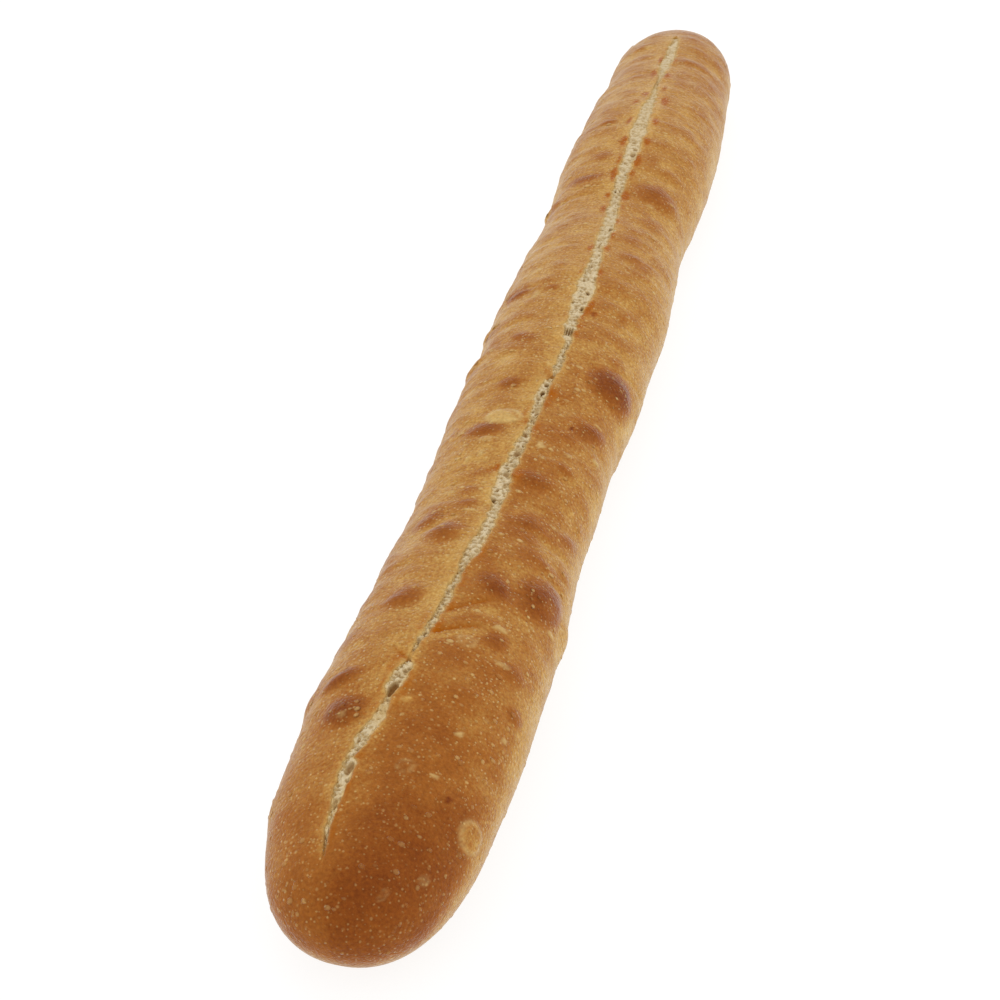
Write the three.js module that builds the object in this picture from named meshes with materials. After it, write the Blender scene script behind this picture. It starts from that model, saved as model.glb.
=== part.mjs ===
// A baguette: one long hand-shaped loaf that lies on its flat baked base, with blunt round ends,
// a slightly uneven outline, low swellings across its back, and one lengthwise score that has
// opened along the crown and shows a sunken band of crumb.
//
// Millimetres. +Z is up, the loaf lies along Y, and the origin is the middle of its base.
import * as THREE from "three";

// Overall form
const LENGTH = 590;
const CROWN = 1.4; // height of the loaf over its half width
const WAIST = 0.46; // height of the widest line, as a share of the loaf's height
const BASE_CUT = 1.3; // how far the round underside would reach below the base, over the waist height
const CAP = 50; // length over which each end rounds off
const SHOULDER = 0.95; // below 1, so the sides are a little fuller than an ellipse
const HAUNCH = 0.85; // the same below the waist

// Half width and sideways drift of the loaf at even steps from the -Y tip to the +Y tip
const OUTLINE = [
  [34.6, -1.0],
  [31.8, -1.0],
  [32.9, -0.9],
  [34.4, -0.5],
  [33.7, -0.4],
  [32.6, 0.5],
  [30.9, 0.1],
  [31.3, 0.2],
  [31.6, -0.4],
  [32.7, 0.7],
  [32.7, 0.8],
  [33.3, 1.2],
  [32.1, 0.8],
  [30.4, 0.5],
  [31.4, 0.3],
  [32.8, 0.9],
  [32.2, 1.1],
  [31.0, 0.5],
  [29.1, -0.1],
  [29.0, -1.2],
  [29.2, -0.6],
];

// The score: [along Y, across X, half width] from one tip of the cut to the other
const SCORE = [
  [-278, -9.2, 0],
  [-250, -9.8, 1.9],
  [-232, -7.0, 2.1],
  [-212, -4.2, 2.4],
  [-192, -2.1, 1.0],
  [-165, -0.4, 1.6],
  [-144, 1.2, 2.8],
  [-110, 2.0, 2.8],
  [-64, 3.4, 2.8],
  [-32, 5.2, 1.4],
  [-6, 4.6, 2.7],
  [14, 4.2, 4.2],
  [40, 3.6, 2.9],
  [100, 0.9, 2.8],
  [160, 0.4, 4.3],
  [205, -0.4, 1.1],
  [232, -1.0, 2.3],
  [262, -1.5, 0],
];
const SCORE_DEPTH = 2.2;
const FULL_DEPTH_HALF = 1; // half width from which the score has its full depth
const LEAST_SCORE = 0.5; // half width that the score's columns keep where the crust is whole
const SCORE_COLUMNS = [-1, -0.72, 0, 0.72, 1]; // lip, foot, middle, foot, lip

// Low swellings: [along Y, degrees from the crown towards +X, half length across, half length along, rise]
const SWELLINGS = [
  [104, 37, 13, 8, 1.6],
  [-35, 48, 14, 12, 2.2],
  [-67, 45, 10, 7, 1.2],
  [-103, 21, 12, 6, 0.9],
  [-161, 23, 12, 7, 1.0],
  [-158, 56, 13, 13, 2.2],
  [-157, 92, 8, 9, 1.6],
  [-207, 64, 9, 8, 1.2],
  [-174, -25, 11, 8, 1.2],
  [-136, -18, 12, 9, 1.5],
  [-211, -42, 12, 7, 1.4],
  [-226, -30, 11, 9, 1.4],
  [-76, -24, 12, 7, 1.1],
  [18, -41, 13, 6, 1.0],
  [111, -30, 14, 6, 0.9],
];

// Fineness of the faceted skin
const CAP_RINGS = 9;
const BODY_RINGS = 88;
const SKIN_COLUMNS = 36;

// A smooth function through evenly or unevenly spaced rows [place, value, ...], for one column.
function through(rows, column) {
  const curve = new THREE.SplineCurve(rows.map((row) => new THREE.Vector2(row[0], row[column])));
  const last = rows.length - 1;
  return (place) => {
    if (place <= rows[0][0]) return rows[0][column];
    if (place >= rows[last][0]) return rows[last][column];
    const i = rows.findIndex((row) => row[0] > place) - 1;
    const share = (place - rows[i][0]) / (rows[i + 1][0] - rows[i][0]);
    return curve.getPoint((i + share) / last).y;
  };
}

const outlineRows = OUTLINE.map((row, i) => [(i / (OUTLINE.length - 1) - 0.5) * LENGTH, ...row]);
const halfWidthAt = through(outlineRows, 1);
const driftAt = through(outlineRows, 2);
const scoreXAt = through(SCORE, 1);
const scoreHalfAt = through(SCORE, 2);

// How much of the full section is left at a place along the loaf: 1 in the body, and down to 0
// at the tips as an ellipse.
function roundingAt(y) {
  const intoCap = THREE.MathUtils.clamp(1 - (LENGTH / 2 - Math.abs(y)) / CAP, 0, 1);
  return Math.sqrt(1 - intoCap ** 2);
}

function signedPower(value, power) {
  return Math.sign(value) * Math.abs(value) ** power;
}

// Height that the swellings add at a place on the skin.
function swellingAt(y, turn) {
  let rise = 0;
  for (const [along, degrees, halfAcross, halfAlong, top] of SWELLINGS) {
    const across = halfWidthAt(along) * (turn - THREE.MathUtils.degToRad(degrees));
    const reach = (across / halfAcross) ** 2 + ((y - along) / halfAlong) ** 2;
    if (reach < 1) rise += top * (1 - reach) ** 2;
  }
  return rise;
}

// The skin's point at a place along the loaf and a turn from the crown, towards +X.
function skinAt(y, turn, sunk) {
  const left = roundingAt(y);
  const height = CROWN * halfWidthAt(y);
  const waist = WAIST * height;
  const above = Math.cos(turn) > 0;
  const reach = above ? height - waist : BASE_CUT * waist;
  const rise = swellingAt(y, turn) * left - sunk;
  const x = halfWidthAt(y) * left * signedPower(Math.sin(turn), above ? SHOULDER : HAUNCH);
  const z = waist + left * reach * Math.cos(turn);
  return new THREE.Vector3(
    driftAt(y) + x + rise * Math.sin(turn),
    y,
    Math.max(0, z + rise * Math.cos(turn)),
  );
}

// One closed ring of skin points, which starts at the score's -X lip and runs over it.
function ringAt(y) {
  const half = Math.max(0, scoreHalfAt(y));
  const middle = Math.asin((scoreXAt(y) - driftAt(y)) / halfWidthAt(y));
  const lip = Math.max(half, LEAST_SCORE) / halfWidthAt(y);
  const depth = SCORE_DEPTH * Math.min(1, half / FULL_DEPTH_HALF);
  const ring = SCORE_COLUMNS.map((share) =>
    skinAt(y, middle + share * lip, Math.abs(share) < 1 ? depth : 0),
  );
  const rest = 2 * Math.PI - 2 * lip;
  for (let i = 1; i < SKIN_COLUMNS; i++) {
    const turn = middle + lip + (rest * i) / SKIN_COLUMNS;
    ring.push(skinAt(y, turn > Math.PI ? turn - 2 * Math.PI : turn, 0));
  }
  return ring;
}

// Places along the loaf: even in the body, and closer together towards the tips.
function ringPlaces() {
  const places = [];
  for (let i = 1; i <= CAP_RINGS; i++) {
    places.push(-LENGTH / 2 + CAP * (1 - Math.cos((Math.PI / 2) * (i / CAP_RINGS))));
  }
  for (let i = 1; i < BODY_RINGS; i++) {
    places.push(-LENGTH / 2 + CAP + (LENGTH - 2 * CAP) * (i / BODY_RINGS));
  }
  const farCap = places.slice(0, CAP_RINGS).map((y) => -y);
  return places.concat(farCap.reverse());
}

// A closed skin over rings of equal count, with a tip point before the first and after the last.
function closedSkin(rings, firstTip, lastTip) {
  const count = rings[0].length;
  const points = [firstTip, ...rings.flat(), lastTip];
  const faces = [];
  for (let c = 0; c < count; c++) {
    const next = (c + 1) % count;
    faces.push(0, 1 + next, 1 + c);
    for (let r = 0; r < rings.length - 1; r++) {
      const here = 1 + r * count;
      const ahead = here + count;
      faces.push(here + c, ahead + next, ahead + c, here + c, here + next, ahead + next);
    }
    const lastRing = 1 + (rings.length - 1) * count;
    faces.push(points.length - 1, lastRing + c, lastRing + next);
  }
  const geometry = new THREE.BufferGeometry().setFromPoints(points);
  geometry.setIndex(faces);
  geometry.computeVertexNormals();
  return geometry;
}

function loafGeometry() {
  const tips = [-LENGTH / 2, LENGTH / 2].map((y) => skinAt(y, 0, 0));
  return closedSkin(ringPlaces().map(ringAt), ...tips);
}

const crust = new THREE.MeshStandardMaterial({ color: 0xb07a3c, roughness: 0.62, metalness: 0 });
const loaf = new THREE.Mesh(loafGeometry(), crust);
loaf.name = "loaf";

const baguette = new THREE.Group();
baguette.name = "baguette";
baguette.add(loaf);

export default baguette;
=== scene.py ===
"""A baguette: a long hand-shaped loaf on its flat baked base, with an open score along its crown.

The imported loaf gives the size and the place. Three pieces stand for it: the crust with its swellings,
wrinkles and creases, the open crumb that shows in the score, and the small blisters on the crust.
Sizes are in millimetres, and become metres where a mesh takes its points. A turn is an angle round
the loaf from its crown, towards +X. The near end of the loaf is its -Y end.
"""

from __future__ import annotations

import logging
import math
from dataclasses import dataclass, field
from enum import Enum
from typing import ClassVar

import bpy
import numpy as np
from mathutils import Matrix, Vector, noise

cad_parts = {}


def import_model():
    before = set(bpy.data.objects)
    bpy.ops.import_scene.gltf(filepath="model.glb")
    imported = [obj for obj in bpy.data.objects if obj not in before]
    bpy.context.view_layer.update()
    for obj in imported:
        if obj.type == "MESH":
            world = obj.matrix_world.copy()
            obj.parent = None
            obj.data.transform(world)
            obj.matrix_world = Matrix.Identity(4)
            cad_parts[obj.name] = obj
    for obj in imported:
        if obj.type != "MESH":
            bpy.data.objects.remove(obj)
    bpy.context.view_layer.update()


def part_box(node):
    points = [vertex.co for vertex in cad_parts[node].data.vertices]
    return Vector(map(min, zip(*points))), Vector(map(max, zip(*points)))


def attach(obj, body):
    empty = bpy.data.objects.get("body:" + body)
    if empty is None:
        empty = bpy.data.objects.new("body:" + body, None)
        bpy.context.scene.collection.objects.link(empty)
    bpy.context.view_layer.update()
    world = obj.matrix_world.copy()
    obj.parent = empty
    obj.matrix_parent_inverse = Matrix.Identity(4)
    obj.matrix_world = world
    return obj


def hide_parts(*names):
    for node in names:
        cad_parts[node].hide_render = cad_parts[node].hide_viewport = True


MM = 0.001
BODY = "root"
NODE = "loaf"
WHITE = (1.0, 1.0, 1.0, 1.0)
LOG = logging.getLogger("baguette")

Array = np.ndarray
Rows = tuple[tuple[float, ...], ...]
Colour = tuple[float, ...]
Stops = tuple[tuple[float, Colour], ...]
Socket = bpy.types.NodeSocket


class Mark(Enum):
    """What a point of the skin carries besides its place, read by the finishes."""

    BAKE = "bake"  # how far the crust has browned
    PALE = "pale"  # thin, stretched or blistered crust that stayed light
    CARAMEL_AND_SHADOW = "caramel"  # sugary spots and lips that went orange, and a painted shadow along the edge of one popped flap
    PORE_SHADE = "pore_shade"  # painted shade of the crumb: the deeper a point lies in a pore, the darker it is coloured


class Side(Enum):
    """The two lips of the score."""

    LEFT = -1
    RIGHT = 1


def through(places: Array, values: Array, where: Array) -> Array:
    """Follow a smooth curve through rows, level before the first and after the last.

    Args:
        places: where the rows lie, rising.
        values: what the curve is at each row.
        where: the places to read.

    Returns:
        The curve's value at each place.
    """
    last = len(places) - 1
    row = np.clip(np.searchsorted(places, where, side="right") - 1, 0, last - 1)
    share = np.clip((where - places[row]) / (places[row + 1] - places[row]), 0, 1)
    before, start = values[np.maximum(row - 1, 0)], values[row]
    end, after = values[row + 1], values[np.minimum(row + 2, last)]
    leave, arrive = (end - before) / 2, (after - start) / 2
    cubic = 2 * start - 2 * end + leave + arrive
    square = 3 * end - 3 * start - 2 * leave - arrive
    return ((cubic * share + square) * share + leave) * share + start


def read_rows(rows: Rows, column: int, along: Array) -> Array:
    """Read one column of a table whose rows start with a place along the loaf."""
    table = np.array(rows)
    return through(table[:, 0], table[:, column], along)


def ease(low: float, high: float, value: Array) -> Array:
    """Go smoothly from 0 at low to 1 at high."""
    share = np.clip((value - low) / (high - low), 0, 1)
    return share * share * (3 - 2 * share)


def bell(distance: Array, width: float | Array) -> Array:
    """Fall off from 1 on both sides of nothing, to about a third at the width."""
    return np.exp(-((distance / width) ** 2))


def floored(height: Array, softness: float) -> Array:
    """Keep heights above nothing, with a rounded corner of that size where they would dip below."""
    corner = np.maximum(0, 1 - np.abs(height) / softness) ** 2
    return np.maximum(height, 0) + corner * softness / 4


@dataclass(frozen=True)
class Slope:
    """A smooth change from one level to another.

    Attributes:
        start: where it begins.
        end: where it is done.
        before: level up to its start.
        after: level from its end on.
    """

    start: float
    end: float
    before: float = 0.0
    after: float = 1.0

    def at(self, value: float | Array) -> Array:
        """Read the level at a value or at many."""
        return self.before + (self.after - self.before) * ease(self.start, self.end, value)


@dataclass(frozen=True)
class Band:
    """A soft band across a distance: where its middle lies, how wide it is and how strong."""

    place: float
    width: float
    strength: float = 1.0

    def at(self, distance: Array) -> Array:
        """Read its strength at distances."""
        return self.strength * bell(distance - self.place, self.width)


@dataclass(frozen=True)
class Mix:
    """A value that is partly the same all over, and partly follows something uneven."""

    base: float
    share: float

    def at(self, uneven: float | Array) -> Array:
        """Read it at the values of what it follows."""
        return self.base + self.share * uneven


@dataclass(frozen=True)
class Rumple:
    """Smooth seamless unevenness, between about -1 and 1.

    Attributes:
        along: length of its waves along the loaf.
        across: length of its waves round the loaf.
        seed: a place in the noise, so that no two are alike.
        octaves: how many layers it has, each twice as fine as the one before.
    """

    along: float
    across: float
    seed: float
    octaves: int = 1

    def at(self, points: Array) -> Array:
        """Read the unevenness.

        Args:
            points: rows of three.

        Returns:
            One value for each row.
        """
        scaled = points / np.array([self.across, self.along, self.across]) + self.seed
        if self.octaves == 1:
            return np.array([noise.noise(point) for point in scaled.tolist()])
        roughness, finer = 1.0, 2.0
        return np.array([noise.fractal(point, roughness, finer, self.octaves) for point in scaled.tolist()])


@dataclass(frozen=True)
class LoafForm:
    """The loaf's bare form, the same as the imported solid's: a rounded section along an uneven outline.

    Attributes:
        length: from tip to tip.
        crown: height of the loaf over its half width.
        waist: height of the widest line, as a share of the loaf's height.
        base_cut: how far the round underside would reach below the base, over the waist height.
        cap: length over which each end rounds off.
        shoulder: below 1 where the sides are fuller than an ellipse.
        haunch: the same below the waist.
        base_corner: how softly the underside turns into the flat base.
        probe: how far to both sides of a place its outward direction is measured.
        outline: half width and sideways drift at even steps from the -Y tip to the +Y tip.
    """

    length: float
    crown: float = 1.4
    waist: float = 0.46
    base_cut: float = 1.3
    cap: float = 50.0
    shoulder: float = 0.95
    haunch: float = 0.85
    base_corner: float = 3.0
    probe: float = 0.02
    outline: Rows = (
        (34.6, -1.0), (31.8, -1.0), (32.9, -0.9), (34.4, -0.5), (33.7, -0.4), (32.6, 0.5), (30.9, 0.1),
        (31.3, 0.2), (31.6, -0.4), (32.7, 0.7), (32.7, 0.8), (33.3, 1.2), (32.1, 0.8), (30.4, 0.5),
        (31.4, 0.3), (32.8, 0.9), (32.2, 1.1), (31.0, 0.5), (29.1, -0.1), (29.0, -1.2), (29.2, -0.6),
    )

    def _outline_at(self, column: int, along: Array) -> Array:
        """Read one column of the outline at places along the loaf."""
        places = np.linspace(-self.length / 2, self.length / 2, len(self.outline))
        return through(places, np.array([row[column] for row in self.outline]), along)

    def half_width(self, along: Array) -> Array:
        """Give the half width of the body at places along the loaf."""
        return self._outline_at(0, along)

    def drift(self, along: Array) -> Array:
        """Give how far the middle lies towards +X at places along the loaf."""
        return self._outline_at(1, along)

    def rounding(self, along: Array) -> Array:
        """Give the share of the section that is left: 1 in the body and 0 at the tips."""
        into_cap = np.clip(1 - (self.length / 2 - np.abs(along)) / self.cap, 0, 1)
        return np.sqrt(1 - into_cap**2)

    def _round(self, along: Array, turn: Array) -> Array:
        """Give the points of the form before its base is cut flat.

        Args:
            along: places along the loaf.
            turn: angles round it, as many.

        Returns:
            Rows of points.
        """
        left = self.rounding(along)
        half = self.half_width(along)
        waist = self.waist * self.crown * half
        above = np.cos(turn) > 0
        reach = np.where(above, self.crown * half - waist, self.base_cut * waist)
        power = np.where(above, self.shoulder, self.haunch)
        across = half * left * np.sign(np.sin(turn)) * np.abs(np.sin(turn)) ** power
        return np.stack([self.drift(along) + across, along, waist + left * reach * np.cos(turn)], axis=-1)

    def outward(self, along: Array, turn: Array) -> Array:
        """Give the outward direction of the bare form at each place.

        Args:
            along: places along the loaf.
            turn: angles round it, as many.

        Returns:
            Rows of unit directions.
        """
        step = self.probe
        inside = self.length / 2 - 2 * step
        held = np.clip(along, -inside, inside)
        lengthwise = self._round(held + step, turn) - self._round(held - step, turn)
        round_it = self._round(held, turn + step) - self._round(held, turn - step)
        normal = np.cross(round_it, lengthwise)
        return normal / np.linalg.norm(normal, axis=-1, keepdims=True)

    def skin(self, along: Array, turn: Array, rise: Array) -> Array:
        """Give the points that stand a height above the bare form, with the base cut flat.

        Args:
            along: places along the loaf.
            turn: angles round it, as many.
            rise: heights above the bare form, as many.

        Returns:
            Rows of points.
        """
        points = self._round(along, turn) + self.outward(along, turn) * rise[:, None]
        points[:, 2] = floored(points[:, 2], self.base_corner)
        return points


@dataclass(frozen=True)
class Score:
    """The lengthwise cut along the crown, which opened in the oven.

    Attributes:
        route: along Y and across X, from one tip of the cut to the other.
        depth: how deep its groove is in the crust.
        wall: share of its half width in which the groove reaches that depth.
        full: half width from which the groove has its full depth.
        least: half width that its columns keep where the crust is whole.
        lips: along Y, and how far the left and the right lip lie from the cut's middle.
        nicks: length and seed of the short and of the long nicks in the lips.
        nick_depth: how deep they are.
    """

    route: Rows = (
        (-278, -9.2), (-250, -9.8), (-232, -7.0), (-212, -4.2), (-192, -2.1), (-165, -0.4), (-144, 1.2),
        (-110, 2.0), (-64, 3.4), (-32, 5.2), (-6, 4.6), (14, 4.2), (40, 3.6), (100, 0.9), (160, 0.4),
        (205, -0.4), (232, -1.0), (262, -1.5),
    )
    depth: float = 2.8
    wall: float = 0.3
    full: float = 1.0
    least: float = 0.45
    lips: Rows = (
        (-280, 0.0, 0.0), (-275, 0.9, 0.0), (-271, 1.2, 0.2), (-265, 0.9, 1.3), (-256, 1.0, 2.3),
        (-250, 1.3, 2.9), (-247, 1.5, 2.8), (-245, 1.2, 1.3), (-243, 1.4, 1.3), (-240, 1.8, 2.3),
        (-237, 2.4, 2.4), (-231, 0.9, 2.9), (-227, 0.7, 2.6), (-224, 0.2, 1.5), (-222, 0.3, 1.2),
        (-219, 1.2, 2.0), (-215, 2.2, 2.4), (-209, 2.0, 2.5), (-206.5, 0.8, 1.2), (-204, 0.1, 0.2),
        (-201.5, 0.3, 0.3), (-199, 1.0, 0.8), (-194, 0.7, 1.1), (-188, 0.5, 1.4), (-181, 0.2, 1.6),
        (-174, 0.6, 1.8), (-168, 0.7, 1.6), (-161, 0.4, 1.1), (-157, 0.9, 0.9), (-153, 1.4, 1.9),
        (-150, 2.0, 2.3), (-144, 1.5, 2.6), (-138, 1.0, 2.5), (-134, 0.9, 3.3), (-128, 0.9, 2.2),
        (-124, 1.0, 1.9), (-119, 2.0, 2.4), (-112, 2.6, 2.3), (-106, 3.0, 1.6), (-101, 2.7, 1.4),
        (-94, 2.2, 1.7), (-86, 2.1, 1.9), (-80, 1.6, 1.4), (-74, 0.9, 1.2), (-69, 1.6, 1.4),
        (-62, 2.6, 1.0), (-54, 3.0, 0.7), (-49, 2.7, 0.5), (-46, 1.4, 0.1), (-43.5, 0.4, 0.4),
        (-41, 1.4, 1.3), (-38, 2.1, 1.4), (-31, 1.6, 1.0), (-23, 1.0, 1.0), (-19.5, 2.6, 1.2),
        (-13, 3.0, 1.1), (-7, 2.6, 1.4), (-1, 3.3, 2.1), (4, 3.5, 3.0), (11, 3.4, 3.5), (17, 3.3, 3.3),
        (24, 2.9, 2.7), (30, 2.5, 2.2), (38, 2.1, 2.3), (45, 2.0, 1.6), (52, 2.3, 2.2), (60, 2.3, 2.7),
        (65, 2.2, 3.4), (74, 2.0, 2.5), (88, 1.9, 2.5), (99, 2.0, 1.9), (108, 2.1, 2.1),
        (119, 2.4, 2.2), (127, 2.2, 3.2), (136, 2.3, 3.0), (141, 2.6, 2.8), (146, 3.0, 3.2),
        (152, 3.0, 3.0), (163, 2.5, 2.6), (172, 2.2, 2.5), (179, 1.4, 2.4), (185, 0.7, 2.2),
        (190, 0.6, 1.6), (195, 0.5, 1.0), (201, 0.5, 0.8), (206, 0.5, 0.9), (211, 0.7, 1.4),
        (217, 1.6, 2.0), (224, 2.2, 2.5), (235, 1.8, 2.8), (250, 1.4, 2.5), (257, 0.8, 1.5),
        (262, 0.0, 0.0),
    )
    nicks: Rows = ((1.8, 3.7), (5.0, 9.1))
    nick_depth: float = 0.75

    def half(self, along: Array) -> Array:
        """Give the half width of the cut, 0 where the crust is whole."""
        return np.maximum(0, (read_rows(self.lips, 1, along) + read_rows(self.lips, 2, along)) / 2)

    def openness(self, along: Array) -> Array:
        """Give the share of its full depth that the groove has."""
        return ease(0, self.full, self.half(along))

    def middle(self, form: LoafForm, along: Array) -> Array:
        """Give the turn of the cut's middle."""
        return np.arcsin((read_rows(self.route, 1, along) - form.drift(along)) / form.half_width(along))

    def lip(self, along: Array, side: Side) -> Array:
        """Give how far a lip lies from the cut's middle.

        Args:
            along: places along the loaf.
            side: which lip.

        Returns:
            The distance over the skin at each place, with nicks that differ between the lips.
        """
        away = read_rows(self.lips, 1 if side is Side.LEFT else 2, along)
        line = np.stack([np.zeros_like(along), along, np.zeros_like(along)], axis=-1)
        nicks = sum(Rumple(length, 1.0, seed * side.value).at(line) for length, seed in self.nicks)
        return np.maximum(away + self.nick_depth * nicks * self.openness(along), self.least)

    def groove(self, along: Array, share: Array) -> Array:
        """Give the depth of the groove at shares of its half width, from lip to lip."""
        return self.depth * self.openness(along) * ease(0, self.wall, 1 - np.abs(share))


@dataclass(frozen=True)
class Raised:
    """An oval that stands out from the crust.

    Attributes:
        along: place along the loaf.
        turn: place round the loaf, in degrees from the crown towards +X.
        across: half its size round the loaf.
        length: half its size along the loaf.
        rise: height of its top.
    """

    along: float
    turn: float
    across: float
    length: float
    rise: float

    def aside(self, form: LoafForm, turn: Array) -> Array:
        """Give how far over the skin each turn lies from its middle, towards +X."""
        width = float(form.half_width(np.array([self.along]))[0])
        return width * (turn - math.radians(self.turn))


@dataclass(frozen=True)
class Swelling(Raised):
    """A low dome or brown patch on the crust.

    Attributes:
        brown: how much more than its surroundings it has browned.
        slant: how far it leans along the loaf for each millimetre across.
    """

    brown: float
    slant: float = 0.0

    def reach(self, form: LoafForm, along: Array, turn: Array) -> Array:
        """Give the squared distance from its middle, 1 at its rim.

        Args:
            form: the loaf's form.
            along: places along the loaf.
            turn: angles round it.

        Returns:
            The squared distance at each place.
        """
        across = self.aside(form, turn)
        lengthwise = along - self.along - self.slant * across
        return (across / self.across) ** 2 + (lengthwise / self.length) ** 2


@dataclass(frozen=True)
class Blister(Raised):
    """A larger bubble with a thin pale skin.

    Attributes:
        pale: how light its skin is.
        rim: how much lighter its rim is.
        gold: how little it has browned.
        end: distance at which nothing of a blister is left.
        ridge: the rim, by the distance.
        ridge_rise: how much it adds to the height.
        steepness: how soon its side reaches its flat top.
        thinned: how the pale skin starts inside the foot.
        gilded: how the golden skin starts inside the foot.
    """

    pale: float
    rim: float
    gold: float = 0.0
    end: ClassVar[float] = 1.4
    ridge: ClassVar[Band] = Band(0.95, 0.16)
    ridge_rise: ClassVar[float] = 0.25
    steepness: ClassVar[float] = 2.2
    thinned: ClassVar[Slope] = Slope(0, 0.25)
    gilded: ClassVar[Slope] = Slope(0, 0.2)

    def reach(self, form: LoafForm, along: Array, turn: Array) -> Array:
        """Give the distance from its middle, 1 at its foot."""
        return np.hypot(self.aside(form, turn) / self.across, (along - self.along) / self.length)


@dataclass(frozen=True)
class Crease:
    """A thin fold between two places on the crust.

    Attributes:
        start: along Y and degrees round the loaf.
        end: the same at its other end.
        rise: height of the fold, below 0 for a groove.
        width: how wide it is.
        bow: how far its middle bends along the loaf.
        caramel: how orange it is: caramel, except along one popped flap's edge, where it is a painted
            shadow.
        gold: how little it has browned.
        fade_in: how it fades at its start, by the share of its length.
        fade_out: the same at its end.
    """

    start: tuple[float, float]
    end: tuple[float, float]
    rise: float
    width: float
    bow: float = 0.0
    caramel: float = 0.0
    gold: float = 0.0
    fade_in: ClassVar[Slope] = Slope(-0.12, 0.12)
    fade_out: ClassVar[Slope] = Slope(-0.12, 0.2)

    def nearness(self, form: LoafForm, along: Array, turn: Array) -> Array:
        """Give how near a place is to the fold, 1 on it.

        Args:
            form: the loaf's form.
            along: places along the loaf.
            turn: angles round it.

        Returns:
            The nearness at each place, fading out towards the fold's ends.
        """
        width = float(form.half_width(np.array([self.start[0]]))[0])
        origin = np.array([self.start[0], width * math.radians(self.start[1])])
        run = np.array([self.end[0], width * math.radians(self.end[1])]) - origin
        size = float(np.hypot(*run))
        away = np.stack([along, width * turn], axis=-1) - origin
        share = away @ run / size**2
        arch = 4 * share * (1 - share)  # 0 at both ends of the fold and 1 at its middle
        aside = (away[:, 0] * run[1] - away[:, 1] * run[0]) / size - self.bow * arch
        return bell(aside, self.width) * self.fade_in.at(share) * self.fade_out.at(1 - share)


@dataclass(frozen=True)
class Spot:
    """A small oval in or beside the score.

    Attributes:
        along: place along the loaf.
        over: place over the skin from the cut's middle, below 0 on its left.
        length: half its size along the loaf.
        across: half its size across.
    """

    along: float
    over: float
    length: float
    across: float


@dataclass(frozen=True)
class LipSpot(Spot):
    """A caramel spot beside the score, and how orange it is."""

    strength: float


@dataclass(frozen=True)
class Pore(Spot):
    """An open bubble in the crumb, and its depth."""

    depth: float


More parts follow.
